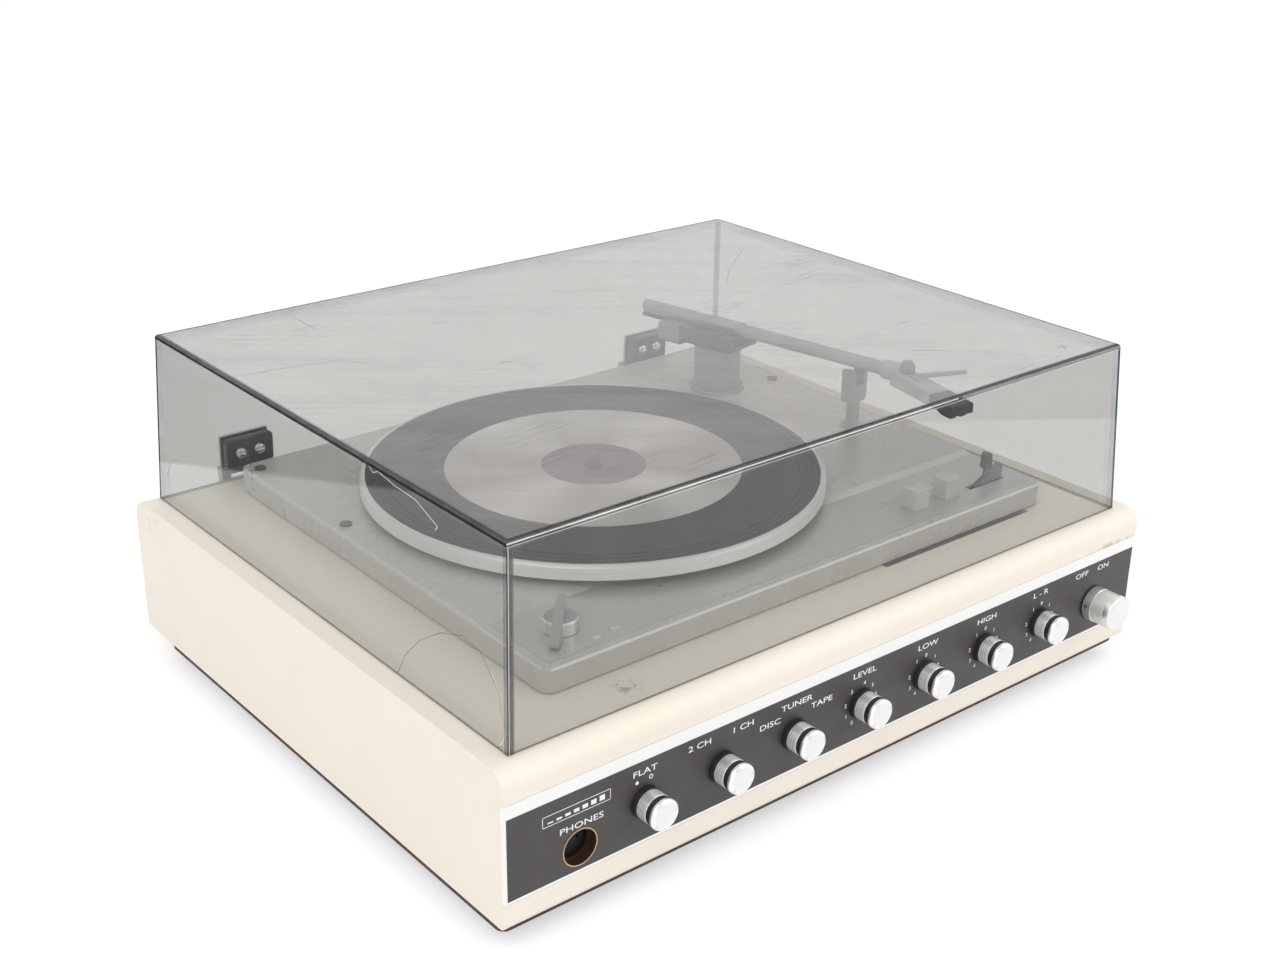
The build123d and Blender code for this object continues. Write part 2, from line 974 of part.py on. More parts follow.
def platter():
    """A cast platter: outer rim, thin web, belt ring and hub in one turned casting."""
    inner = platter_radius - platter_wall
    return Pos(platter_x, platter_y, 0) * turned([
        (spindle_radius + 0.05, web_bottom - 1.5),
        (hub_radius, web_bottom - 1.5),
        (hub_radius, web_bottom),
        (belt_ring_radius - belt_ring_wall, web_bottom),
        (belt_ring_radius - belt_ring_wall, belt_ring_bottom),
        (belt_ring_radius, belt_ring_bottom),
        (belt_ring_radius, web_bottom),
        (inner, web_bottom),
        (inner, platter_bottom),
        (platter_radius, platter_bottom),
        (platter_radius, platter_top - platter_chamfer),
        (platter_radius - platter_chamfer, platter_top),
        (mat_radius + mat_fit, platter_top),
        (mat_radius + mat_fit, web_top),
        (spindle_radius + 0.05, web_top),
    ])


def platter_mat():
    """A rubber mat with low rings near its edge and a shallow seat for the bright ring."""
    base = web_top
    top = mat_top
    points = [
        (spindle_radius + 0.3, base),
        (mat_radius, base),
        (mat_radius, top),
    ]
    outer = mat_radius - mat_rib_width
    for i in range(mat_rib_count):
        edge = outer - mat_rib_pitch * i
        points += [
            (edge, top),
            (edge, top + mat_rib_height),
            (edge - mat_rib_width, top + mat_rib_height),
            (edge - mat_rib_width, top),
        ]
    points += [
        (inset_outer_radius + 0.1, top),
        (inset_outer_radius + 0.1, top - inset_depth),
        (inset_inner_radius - 0.1, top - inset_depth),
        (inset_inner_radius - 0.1, top),
        (spindle_radius + 3, top),
        (spindle_radius + 0.3, top - 1),
    ]
    return Pos(platter_x, platter_y, 0) * turned(points)


def mat_ring():
    z0 = mat_top - inset_depth
    ring = post(platter_x, platter_y, z0, z0 + inset_thickness, inset_outer_radius)
    return ring - post(platter_x, platter_y, z0 - 1, z0 + inset_thickness + 1, inset_inner_radius)


def platter_spindle():
    """The bearing shaft, with a flange under the platter and a short centre pin above it."""
    flange_top = web_bottom - 1.5
    shaft_top = mat_top
    pin_top = shaft_top + centre_pin_height
    return Pos(platter_x, platter_y, 0) * turned([
        (0, flange_top - spindle_length),
        (spindle_radius, flange_top - spindle_length),
        (spindle_radius, flange_top - spindle_flange),
        (hub_radius - 1, flange_top - spindle_flange),
        (hub_radius - 1, flange_top),
        (spindle_radius, flange_top),
        (spindle_radius, shaft_top),
        (centre_pin_radius, shaft_top),
        (centre_pin_radius, pin_top - 2.4),
        (centre_pin_radius * 0.8, pin_top - 0.9),
        (centre_pin_radius * 0.4, pin_top - 0.1),
        (0, pin_top),
    ])


def platter_bearing():
    bore = spindle_radius + bearing_fit
    shaft_end = web_bottom - 1.5 - spindle_length
    return Pos(platter_x, platter_y, 0) * turned([
        (0, shaft_end - bearing_floor),
        (bearing_outer_radius, shaft_end - bearing_floor),
        (bearing_outer_radius, rear_deck_z),
        (bearing_flange_radius, rear_deck_z),
        (bearing_flange_radius, rear_deck_z + bearing_flange_thickness),
        (bore, rear_deck_z + bearing_flange_thickness),
        (bore, shaft_end - 0.02),
        (0, shaft_end - 0.02),
    ])


# Drive
def drive_motor():
    top = rear_deck_under
    can = post(pulley_x, pulley_y, top - motor_height, top, motor_radius)
    can = fillet(can.edges().filter_by(GeomType.CIRCLE).sort_by(Axis.Z)[0], 3.0)
    bush = post(pulley_x, pulley_y, top, top + 1.5, 4.0)
    return can + bush - post(
        pulley_x,
        pulley_y,
        top - motor_height / 2,
        top + 3,
        motor_shaft_radius + 0.05,
    )


def motor_pulley():
    z0 = rear_deck_z + 0.6
    z1 = web_bottom - 0.5
    low = motor_shaft_radius
    return Pos(pulley_x, pulley_y, 0) * turned([
        (0, rear_deck_under - motor_height / 2 + 1),
        (low, rear_deck_under - motor_height / 2 + 1),
        (low, z0),
        (pulley_radius + pulley_flange, z0),
        (pulley_radius + pulley_flange, z0 + 0.8),
        (pulley_radius, z0 + 1.4),
        (pulley_radius, z1 - 0.8),
        (pulley_radius + pulley_flange, z1 - 0.4),
        (pulley_radius + pulley_flange, z1),
        (0, z1),
    ])


def belt_outline(ring_radius, small_radius):
    """The closed line of a belt round the ring and the pulley, with straight tangent runs."""
    centre = Vector(platter_x, platter_y)
    away = Vector(pulley_x - platter_x, pulley_y - platter_y)
    base = degrees(atan2(away.Y, away.X))
    step = ring_radius - small_radius
    spread = degrees(pi / 2 - atan2(step, (away.length ** 2 - step ** 2) ** 0.5))
    up = radians(base + spread)
    down = radians(base - spread)
    far = radians(base + 180)
    near = radians(base)
    small = Vector(pulley_x, pulley_y)
    ring_up = centre + Vector(cos(up), sin(up)) * ring_radius
    ring_far = centre + Vector(cos(far), sin(far)) * ring_radius
    ring_down = centre + Vector(cos(down), sin(down)) * ring_radius
    small_down = small + Vector(cos(down), sin(down)) * small_radius
    small_near = small + Vector(cos(near), sin(near)) * small_radius
    small_up = small + Vector(cos(up), sin(up)) * small_radius
    edges = [
        ThreePointArc(ring_up, ring_far, ring_down),
        Line(ring_down, small_down),
        ThreePointArc(small_down, small_near, small_up),
        Line(small_up, ring_up),
    ]
    return make_face(edges)


def drive_belt():
    inner = belt_outline(belt_ring_radius + belt_gap, pulley_radius + belt_gap)
    outer = belt_outline(
        belt_ring_radius + belt_gap + belt_thickness,
        pulley_radius + belt_gap + belt_thickness,
    )
    z0 = belt_ring_bottom + 0.2
    return Pos(0, 0, z0) * extrude(outer - inner, belt_height)


# Deck controls
def speed_knob():
    """A round base with a raised blade whose nose hangs over the front edge of the base."""
    z0 = deck_height + 0.4
    top = z0 + speed_height
    base = post(speed_x, speed_y, z0, top, speed_radius)
    base = chamfer(base.edges().filter_by(GeomType.CIRCLE).sort_by(Axis.Z)[-1], 0.8)
    blade_outline = make_face(Polyline(
        (-speed_tail_reach, top - 1),
        (-speed_tail_reach + 0.6, z0 + speed_tail_height),
        (-speed_tail_reach + 3.4, z0 + speed_tail_height),
        (speed_radius + 1.4, top + 2.6),
        (speed_nose_reach - 1.6, z0 + 2.6),
        (speed_nose_reach - 1.6, z0 + 1.0),
        (speed_nose_reach - 5.0, z0 + 0.6),
        (speed_radius + 0.6, z0 + 1.2),
        (speed_radius - 2.0, top - 1),
        close=True,
    ))
    half = speed_pointer_width / 2
    blade = extrude(Plane.XZ * blade_outline, half, both=True)
    taper = make_face(Polyline(
        (-speed_tail_reach - 1, -half + 1.2),
        (0, -half),
        (speed_nose_reach, -half),
        (speed_nose_reach, half),
        (0, half),
        (-speed_tail_reach - 1, half - 1.2),
        close=True,
    ))
    blade &= Pos(0, 0, z0 - 1) * extrude(taper, speed_tail_height + 3)
    blade = Pos(speed_x, speed_y, 0) * Rot(0, 0, speed_pointer_angle) * blade
    shaft = post(speed_x, speed_y, deck_height - 18, z0, shaft_radius)
    return base + blade + shaft


def push_button(x):
    z1 = deck_height + button_height
    body = block(
        x - button_width / 2,
        x + button_width / 2,
        button_y - button_depth / 2,
        button_y + button_depth / 2,
        button_bottom,
        z1,
    )
    body = fillet(body.edges().filter_by(Axis.Z), 0.8)
    body = chamfer(body.faces().sort_by(Axis.Z)[-1].edges(), 0.5)
    body -= block(x - 2.5, x + 2.5, button_y + 2.6, button_y + 4.0, z1 - 0.5, z1 + 1)
    stem = post(x, button_y, button_bottom - button_stem, button_bottom, button_stem_radius)
    return body + stem


def control_bracket():
    """The pressed bracket under the deck that guides the stems, the speed shaft and the cue axle."""
    z1 = button_bottom - button_travel - 0.2
    z0 = z1 - control_bracket_sheet
    x0 = speed_x - control_bracket_left
    x1 = cue_x + control_bracket_right
    y0 = button_y - control_bracket_front
    y1 = button_y + control_bracket_rear
    bracket = block(x0, x1, y0, y1, z0, z1)
    bracket += block(x0, x0 + control_bracket_sheet, y0, y1, z0, deck_under)
    bracket += block(x1 - control_bracket_sheet, x1, y0, y1, z0, deck_under)
    for x in button_x:
        bracket -= post(x, button_y, z0 - 1, z1 + 1, button_stem_radius + 0.1)
    bracket -= post(speed_x, speed_y, z0 - 1, z1 + 1, knob_fit_radius())
    bracket -= block(
        cue_x - cue_bracket_gap_left,
        cue_x + cue_bracket_gap_right,
        cue_y - cue_ear_gap,
        cue_y + cue_ear_gap,
        z0 - 1,
        z1 + 1,
    )
    for side in (-1, 1):
        near = cue_y + side * cue_ear_gap
        far = near + side * cue_ear_thickness
        bracket += block(
            cue_x - cue_ear_half,
            cue_x + cue_ear_half,
            min(near, far),
            max(near, far),
            cue_axis_z - 3,
            z1,
        )
    return bracket - bar_y(cue_x, cue_axis_z, y0, y1, cue_axle_radius + cue_axle_fit)


def cue_lever():
    """A thin polished plate that turns on an axle under the deck and comes up through a slot."""
    outline = make_face(Polyline(
        (-5, -3.4),
        (5, -3.4),
        (cue_plate_right - 0.5, 12),
        (cue_plate_right, cue_plate_top - 1.5),
        (cue_plate_right - 2, cue_plate_top),
        (-cue_plate_left, 12.2),
        close=True,
    ))
    plate = extrude(Plane.XZ * outline, cue_plate_thickness / 2, both=True)
    tongue = block(
        cue_x - cue_tongue_left,
        cue_x + cue_tongue_right,
        cue_y - cue_tongue_thickness / 2,
        cue_y + cue_tongue_thickness / 2,
        cue_axis_z + 12,
        cue_tip_bottom + cue_tongue_grip,
    )
    reach = cue_ear_gap + cue_ear_thickness + 0.5
    axle = bar_y(cue_x, cue_axis_z, cue_y - reach, cue_y + reach, cue_axle_radius)
    return Pos(cue_x, cue_y, cue_axis_z) * plate + tongue + axle


def cue_tip():
    """The finger piece that is pushed over the plate."""
    half = cue_tip_width / 2
    outline = make_face(Polyline(
        (-half, cue_tip_bottom),
        (half, cue_tip_bottom),
        (half - 0.4, cue_tip_top - 1.5),
        (half - 1.8, cue_tip_top),
        (-half + 1.8, cue_tip_top),
        (-half + 0.4, cue_tip_top - 1.5),
        close=True,
    ))
    tip = extrude(Plane.XZ * outline, 2.4, both=True)
    return Pos(cue_x - 1.0, cue_y, 0) * tip - cue_lever()


# Tone arm, in a frame whose X runs along the arm to the head and whose Z is up
def in_arm(shape):
    return arm_frame * shape


def arm_column():
    return Pos(arm_x, arm_y, 0) * turned([
        (pillar_radius + 0.05, rear_deck_z),
        (column_foot_radius, rear_deck_z),
        (column_foot_radius, rear_deck_z + column_foot_height - 0.8),
        (column_foot_radius - 0.8, rear_deck_z + column_foot_height),
        (column_radius, rear_deck_z + column_foot_height),
        (column_radius, column_top - 1.0),
        (column_radius - 1.0, column_top),
        (pillar_radius + 0.05, column_top),
    ])


def arm_yoke():
    """A U-shaped yoke on the vertical pillar, open at the top for the arm's saddle."""
    half_l = yoke_length / 2
    half_w = yoke_width / 2
    yoke = block(-half_l, half_l, -half_w, half_w, yoke_bottom, yoke_top)
    yoke = fillet(yoke.edges().filter_by(Axis.Z), 2.0)
    channel = half_w - yoke_wall
    yoke -= block(-half_l - 1, half_l + 1, -channel, channel, yoke_floor_top, yoke_top + 1)
    groove = rod_radius + 0.8
    yoke -= block(-half_l - 1, -8, -groove, groove, yoke_floor_top - 1.5, yoke_floor_top + 1)
    yoke -= bar_y(0, pitch_z, -half_w - 1, half_w + 1, pivot_radius + pivot_fit)
    pillar_foot = rear_deck_z - arm_height + 1.0
    yoke += post(0, 0, pillar_foot, yoke_bottom + 0.5, pillar_radius)
    return in_arm(yoke)


def arm_saddle():
    """The block that holds the arm tube and swings on two pivot screws."""
    half_l = saddle_length / 2
    half_w = saddle_width / 2
    saddle = block(-half_l, half_l, -half_w, half_w, saddle_bottom, 0.6)
    saddle -= bar_x(0, 0, -half_l - 1, half_l + 1, arm_tube_radius + 0.03)
    reach = yoke_width / 2 - 0.6
    saddle += bar_y(0, pitch_z, -reach, -half_w + 0.5, pivot_radius)
    saddle += bar_y(0, pitch_z, half_w - 0.5, reach, pivot_radius)
    saddle += bar_x(0, -rod_drop, -arm_rear_reach - 1, -half_l + 1, rod_radius)
    return in_arm(saddle)


def arm_tube():
    tube = bar_x(0, 0, -arm_rear_reach + 3, arm_front_reach, arm_tube_radius)
    tube -= bar_x(0, 0, -arm_rear_reach + 4, arm_front_reach + 1, arm_tube_bore)
    cap = bar_x(0, 0, -arm_rear_reach, -arm_rear_reach + 3, arm_tube_radius)
    cap = fillet(cap.edges().filter_by(GeomType.CIRCLE).sort_by(Axis.X)[0], 1.6)
    return in_arm(tube + cap)


def counterweight():
    half_w = weight_width / 2
    weight = block(weight_rear, weight_front, -half_w, half_w, weight_top - weight_height, weight_top)
    weight = chamfer(weight.edges().filter_by(Axis.X), 1.2)
    weight -= bar_x(0, -rod_drop, weight_rear - 1, weight_front + 1, rod_radius + 0.05)
    return in_arm(weight)


def head_frame():
    """The head's own frame: X along the head, from its joint with the tube."""
    start = arm_front_reach - 1
    return Location((start, 0, 0), (0, 0, -head_angle))


def head_centre(share):
    """Height of the shell's middle at a share of its length."""
    return -head_rear_drop - head_slope * share


def head_height(share):
    return head_rear_height + (head_front_height - head_rear_height) * share


def head_width(share):
    return head_rear_width + (head_front_width - head_rear_width) * share


def head_top(distance):
    """Height of the shell's upper face at a distance along the head."""
    share = distance / head_length
    return head_centre(share) + head_height(share) / 2


def shell_section(share):
    plane = Plane.YZ.offset(head_length * share)
    return plane * Pos(0, head_centre(share)) * Rectangle(head_width(share), head_height(share))


def hollow_section(share):
    """The open space under the roof, drawn down past the shell's lower edge."""
    plane = Plane.YZ.offset(head_length * share)
    roof = head_centre(share) + head_height(share) / 2 - head_wall
    low = head_centre(share) - head_height(share) / 2 - 2
    return plane * Pos(0, (roof + low) / 2) * Rectangle(head_width(share) - 2 * head_wall, roof - low)


def headshell():
    """A tapered shell, open below and set at an angle, with the collar that clamps the tube."""
    collar = bar_x(0, 0, arm_front_reach - 10, arm_front_reach + collar_length - 10, collar_radius)
    collar = chamfer(collar.edges().filter_by(GeomType.CIRCLE), 0.6)
    shell = loft([shell_section(0.02), shell_section(1.0)])
    shell -= loft([hollow_section(0.4), hollow_section(1 - head_wall / head_length)])
    bore = bar_x(0, 0, arm_front_reach - 12, arm_front_reach, arm_tube_radius + 0.03)
    return in_arm(collar + head_frame() * shell - bore)


def cartridge():
    """A pick-up under the roof of the shell, with a notched nose and a fine stylus bar."""
    x1 = head_length - head_wall - 0.2
    x0 = x1 - cartridge_length
    bottom = -cartridge_depth
    outline = make_face(Polyline(
        (x0, head_top(x0) - head_wall),
        (x1, head_top(x1) - head_wall),
        (x1, bottom + 2.4),
        (x1 - 1.6, bottom),
        (x1 - 9, bottom),
        (x0, bottom + 3.4),
        close=True,
    ))
    body = extrude(Plane.XZ * outline, cartridge_width / 2, both=True)
    body -= block(x1 - 6, x1 + 1, -1.8, 1.8, bottom - 1, bottom + 1.8)
    stylus = block(x1 - 7.5, x1 - 3.2, -0.5, 0.5, bottom + 0.9, bottom + 1.8)
    tip = Pos(x1 - 3.8, 0, bottom + 1.0 - (stylus_depth + 1.0) / 2) * Cone(
        0.6,
        0.15,
        stylus_depth + 1.0,
        rotation=(180, 0, 0),
    )
    return in_arm(head_frame() * (body + stylus + tip))


def head_lock():
    """The thumb nut on top of the head's joint."""
    z0 = head_top(lock_distance) - 1
    nut = Pos(lock_distance, 1.0, 0) * turned([
        (0, z0),
        (lock_radius, z0),
        (lock_radius, z0 + lock_height - 2.0),
        (lock_radius - 1.2, z0 + lock_height - 0.6),
        (lock_radius - 3.0, z0 + lock_height),
        (0, z0 + lock_height),
    ])
    return in_arm(head_frame() * nut) - headshell()


def finger_lift():
    """A flat tongue on the head's top that runs out to the side, for lifting the arm by hand."""
    z0 = head_top(lift_distance)
    tongue = block(0, lift_reach, -lift_width / 2, lift_width / 2, 0, lift_thickness)
    tongue = fillet(tongue.edges().filter_by(Axis.Z).group_by(Axis.X)[-1], lift_width / 2 - 0.1)
    tongue = Pos(lift_distance, 1.5, z0 - 0.3) * Rot(0, 0, lift_angle) * Rot(0, -5, 0) * tongue
    sole = block(lift_distance - 3, lift_distance + 5, -2.5, 4.5, z0 - 1, z0 + lift_thickness * 0.6)
    return in_arm(head_frame() * (tongue + sole)) - headshell()


def arm_rest():
    """A post with a forked clip that is open at the top, turned in line with the parked arm."""
    clip_top = -arm_tube_radius - rest_top_gap
    clip_bottom = clip_top - rest_head_height
    x0 = rest_distance - rest_length / 2
    x1 = rest_distance + rest_length / 2
    half = rest_width / 2
    clip = block(x0, x1, -half, half, clip_bottom, clip_top)
    clip = fillet(clip.edges().filter_by(Axis.X).group_by(Axis.Z)[0], 3.0)
    notch_half = arm_tube_radius + rest_notch_clearance
    clip -= block(x0 - 1, x1 + 1, -notch_half, notch_half, clip_top - rest_notch_depth, clip_top + 1)
    deck_level = rear_deck_z - arm_height
    clip += post(rest_distance, 0, deck_level, clip_bottom + 2, rest_post_radius)
    clip += post(rest_distance, 0, deck_level, deck_level + 2.5, rest_foot_radius)
    return in_arm(clip)


# Dust cover
def lid_cover():
    z0 = lid_seat_gap
    outer = Pos(0, 0, z0) * extrude(Rectangle(lid_width, lid_depth), lid_height, taper=draft_angle)
    outer = fillet(outer.faces().sort_by(Axis.Z)[-1].edges(), lid_top_round)
    outer = outer.solids()[0]
    inner = Pos(0, 0, z0 - 0.001) * extrude(
        Rectangle(lid_width - 2 * lid_wall, lid_depth - 2 * lid_wall),
        lid_height - lid_wall,
        taper=draft_angle,
    )
    cover = outer - inner
    for x in hinge_x:
        for side in (-1, 1):
            hole = bar_y(0, 0, -lid_wall * 3, lid_wall * 3, lid_screw_radius + 0.2)
            cover -= on_lid_back(
                x + side * bracket_screw_spacing / 2,
                bracket_bottom + bracket_height / 2,
                hole,
            )
    return cover


def on_lid_back(x, height, shape):
    """Sets a shape on the outer back face of the cover, leaning with its draft, at a height up the face."""
    y = lid_depth / 2 - height * sin(lid_lean)
    z = lid_seat_gap + height * cos(lid_lean)
    return Pos(x, y, z) * Rot(draft_angle, 0, 0) * shape


def lid_bracket(x):
    """The plastic block inside the cover, screwed through the back wall."""
    y1 = -lid_wall / cos(lid_lean) - 0.02
    body = block(
        -bracket_width / 2,
        bracket_width / 2,
        y1 - bracket_thickness,
        y1,
        -bracket_height / 2,
        bracket_height / 2,
    )
    body = fillet(body.edges().filter_by(Axis.Y), 2.5)
    body = chamfer(body.faces().sort_by(Axis.Y)[0].edges(), 0.8)
    for side in (-1, 1):
        body -= bar_y(
            side * bracket_screw_spacing / 2,
            0,
            y1 - bracket_thickness - 1,
            y1 + 1,
            lid_screw_radius + 0.1,
        )
    return on_lid_back(x, bracket_bottom + bracket_height / 2, body)


def lid_screw(x, side):
    """A domed screw, with its head on the bracket and its end in the outer leaf."""
    y1 = -lid_wall / cos(lid_lean) - 0.02 - bracket_thickness
    shank = bar_y(0, 0, y1 - 0.2, leaf_thickness - 0.4, lid_screw_radius)
    dome = turned([
        (0, 0),
        (lid_screw_head_radius, 0),
        (lid_screw_head_radius * 0.86, lid_screw_head_height * 0.55),
        (lid_screw_head_radius * 0.5, lid_screw_head_height * 0.92),
        (0, lid_screw_head_height),
    ])
    head = Pos(0, y1, 0) * Rot(90, 0, 0) * dome
    slot = block(
        -lid_screw_head_radius,
        lid_screw_head_radius,
        y1 - lid_screw_head_height - 1,
        y1 - 0.7,
        -0.45,
        0.45,
    )
    screw = head + shank - slot
    return on_lid_back(x + side * bracket_screw_spacing / 2, bracket_bottom + bracket_height / 2, screw)


def hinge_leaf(x):
    """The outer half on the cover: a plate on the back wall that ends in a knuckle round the pin."""
    half = bracket_width / 2
    knuckle_half = leaf_width / 2
    plate_bottom = bracket_bottom - 1.5
    plate = block(-half, half, 0.05, leaf_thickness, plate_bottom, bracket_bottom + bracket_height)
    neck = block(-knuckle_half, knuckle_half, 0.6, 4.4, hinge_axis_height, plate_bottom + 3)
    for side in (-1, 1):
        screw_x = side * bracket_screw_spacing / 2
        screw_z = bracket_bottom + bracket_height / 2
        plate -= bar_y(screw_x, screw_z, -1, leaf_thickness + 1, lid_screw_radius + 0.05)
    leaf = on_lid_back(x, 0, plate + neck)
    leaf += bar_x(hinge_y, hinge_axis_height, x - knuckle_half, x + knuckle_half, knuckle_radius)
    return leaf - bar_x(hinge_y, hinge_axis_height, x - half, x + half, hinge_pin_radius + hinge_pin_fit)


def hinge_seat(x):
    """The fixed half: a sole let into the rear edge, with two ears and the pin they carry."""
    inner = leaf_width / 2 + hinge_side_gap
    outer = inner + hinge_ear_width
    half_foot = knuckle_radius * 0.8
    seat = block(
        x - outer,
        x + outer,
        hinge_y - half_foot,
        hinge_y + half_foot,
        hinge_sole_bottom,
        hinge_sole_top,
    )
    for x0, x1 in ((x - outer, x - inner), (x + inner, x + outer)):
        seat += block(
            x0,
            x1,
            hinge_y - half_foot,
            hinge_y + half_foot,
            hinge_sole_bottom,
            hinge_axis_height,
        )
        seat += bar_x(hinge_y, hinge_axis_height, x0, x1, knuckle_radius)
    return seat + bar_x(hinge_y, hinge_axis_height, x - outer, x + outer, hinge_pin_radius)


def hinge_pocket(x):
    """The slot in the rear edge of the top board for one hinge seat."""
    outer = leaf_width / 2 + hinge_side_gap + hinge_ear_width + 0.05
    half_foot = knuckle_radius * 0.8 + 0.05
    return block(x - outer, x + outer, hinge_y - half_foot, hinge_y + half_foot, hinge_sole_bottom, 1)


# Case, panel and inside parts
save("plinth_top", top_board())
save("plinth_side_left", side_board(-half_width, -half_width + board_thickness))
save("plinth_side_right", side_board(half_width - board_thickness, half_width))
save("front_rail", front_rail())
save("rear_panel", rear_panel())
save("base_plate", base_plate())
foot_places = [(x, y) for x in foot_xs() for y in foot_ys()]
save("feet", *[foot(x, y) for x, y in foot_places])
save("foot_screws", *[foot_screw(x, y) for x, y in foot_places])
save("control_trim", trim_plate())
save("control_face", dark_face())
save("control_chassis", control_chassis())
save("headphone_shell", phones_shell())
save("headphone_insert", phones_insert())
pot_places = [(x, control_z) for x in knob_xs] + [(power_x, power_z)]
save("rotary_controls", *[control_pot(x, z) for x, z in pot_places])
save("amplifier_board", amplifier_board())
save("mains_transformer", *transformer())
save("mains_inlet", mains_inlet())
save("rear_sockets", *[rear_socket(x) for x in socket_xs])
save("hinge_seats", *[hinge_seat(x) for x in hinge_x])

# Deck and what is fixed to it
save("deck_plate", deck_plate())
save("deck_inlay", deck_inlay())
save("suspension_mounts", *suspension_mounts())
save("deck_screws", *[deck_screw(x, y) for x, y in deck_screw_places()])
save("control_bracket", control_bracket())
save("platter_bearing", platter_bearing())
save("drive_motor", drive_motor())
save("drive_belt", drive_belt())
save("arm_column", arm_column())
save("arm_rest", arm_rest())

# Turning and sliding parts on the deck
save("platter", platter())
save("platter_mat", platter_mat())
save("mat_ring", mat_ring())
save("platter_spindle", platter_spindle())
save("motor_pulley", motor_pulley())
save("speed_knob", speed_knob())
save("start_button", push_button(button_x[0]))
save("stop_button", push_button(button_x[1]))
save("cue_lever", cue_lever())
save("cue_tip", cue_tip())

# Tone arm
save("arm_yoke", arm_yoke())
save("arm_saddle", arm_saddle())
save("arm_tube", arm_tube())
save("headshell", headshell())
save("cartridge", cartridge())
save("headshell_lock", head_lock())
save("finger_lift", finger_lift())
save("counterweight", counterweight())

# Front knobs, each with the shaft that carries it
for name, x in zip(knob_names, knob_xs):
    save(f"{name}_knob", *knob_and_shaft(x, control_z, panel_knob(), knob_length))
save("power_knob", *knob_and_shaft(power_x, power_z, power_knob(), power_length))

# Dust cover
save("lid_cover", lid_cover())
save("lid_brackets", *[lid_bracket(x) for x in hinge_x])
save("lid_hinge_leaves", *[hinge_leaf(x) for x in hinge_x])
save("lid_screws", *[lid_screw(x, side) for x in hinge_x for side in (-1, 1)])
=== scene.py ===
import json
import math
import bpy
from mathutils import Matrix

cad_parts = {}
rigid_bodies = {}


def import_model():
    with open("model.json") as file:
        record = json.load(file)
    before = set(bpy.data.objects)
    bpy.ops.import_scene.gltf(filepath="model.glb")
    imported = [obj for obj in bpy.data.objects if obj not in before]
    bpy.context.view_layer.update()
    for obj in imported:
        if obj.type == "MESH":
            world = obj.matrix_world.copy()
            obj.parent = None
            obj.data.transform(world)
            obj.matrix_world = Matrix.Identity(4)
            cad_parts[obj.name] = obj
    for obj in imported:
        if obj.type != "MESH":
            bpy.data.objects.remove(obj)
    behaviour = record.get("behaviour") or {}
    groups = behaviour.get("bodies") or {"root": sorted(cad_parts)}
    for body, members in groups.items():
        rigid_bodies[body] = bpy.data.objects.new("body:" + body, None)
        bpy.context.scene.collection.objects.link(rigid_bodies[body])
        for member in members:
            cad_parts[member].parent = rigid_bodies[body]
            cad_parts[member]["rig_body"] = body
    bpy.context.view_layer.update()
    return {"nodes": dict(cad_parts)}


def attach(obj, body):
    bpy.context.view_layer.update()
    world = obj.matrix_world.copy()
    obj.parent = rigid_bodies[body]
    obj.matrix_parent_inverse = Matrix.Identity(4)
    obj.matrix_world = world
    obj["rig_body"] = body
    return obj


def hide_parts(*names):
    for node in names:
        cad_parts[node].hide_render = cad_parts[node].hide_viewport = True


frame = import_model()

from types import SimpleNamespace

import bmesh
import bpy
from mathutils import Matrix, Vector

nodes = frame["nodes"]
print("stage: frame loaded,", len(nodes), "CAD nodes")


# places are in mm from the middle of the top board's upper face; at() turns them into the row frame's metres
boardY, boardZ = 10.0, 98.0


def at(x, y, z):
    return Vector((x / 1000, (y + boardY) / 1000, (z + boardZ) / 1000))


def mm(value):
    return value / 1000


# node building blocks, for shaders and for Geometry Nodes

def link(tree, output, socket):
    tree.links.new(output, socket)


def feed(tree, socket, value):  # a socket gets another socket, a node's first output or a plain value
    if isinstance(value, bpy.types.Node):
        value = value.outputs[0]
    if isinstance(value, bpy.types.NodeSocket):
        link(tree, value, socket)
    elif isinstance(value, (tuple, list)) and len(value) == 3 and socket.type == "RGBA":
        socket.default_value = (*value, 1)
    else:
        socket.default_value = value


def addNode(tree, kind, inputs=(), **settings):
    node = tree.nodes.new(kind)
    for key, value in settings.items():
        setattr(node, key, value)
    for key, value in dict(inputs).items():
        feed(tree, node.inputs[key], value)
    return node


def newMaterial(name, colour, roughness, metallic=0.0, **sockets):
    material = bpy.data.materials.new(name)
    material.use_nodes = True
    tree = material.node_tree
    shader = tree.nodes["Principled BSDF"]
    for key, value in {"Base Color": colour, "Roughness": roughness, "Metallic": metallic, **sockets}.items():
        feed(tree, shader.inputs[key], value)
    return material, tree, shader


def clearMaterial(name):  # a material without the usual shader, and the socket that its surface goes into
    material = bpy.data.materials.new(name)
    material.use_nodes = True
    tree = material.node_tree
    tree.nodes.remove(tree.nodes["Principled BSDF"])
    return material, tree, tree.nodes["Material Output"].inputs["Surface"]


def objectPlace(tree, size=(1, 1, 1), centre=(0, 0, 0), turn=0.0):
    place = tree.nodes.new("ShaderNodeTexCoord").outputs["Object"]
    return addNode(tree, "ShaderNodeMapping", {
        "Location": centre, "Rotation": (0, 0, turn), "Scale": size, "Vector": place,
    }, vector_type="TEXTURE").outputs["Vector"]


def noise(tree, place, scale, detail=3.0, roughness=0.55, distortion=0.0):
    return addNode(tree, "ShaderNodeTexNoise", {
        "Vector": place, "Scale": scale, "Detail": detail, "Roughness": roughness, "Distortion": distortion,
    }).outputs["Fac"]


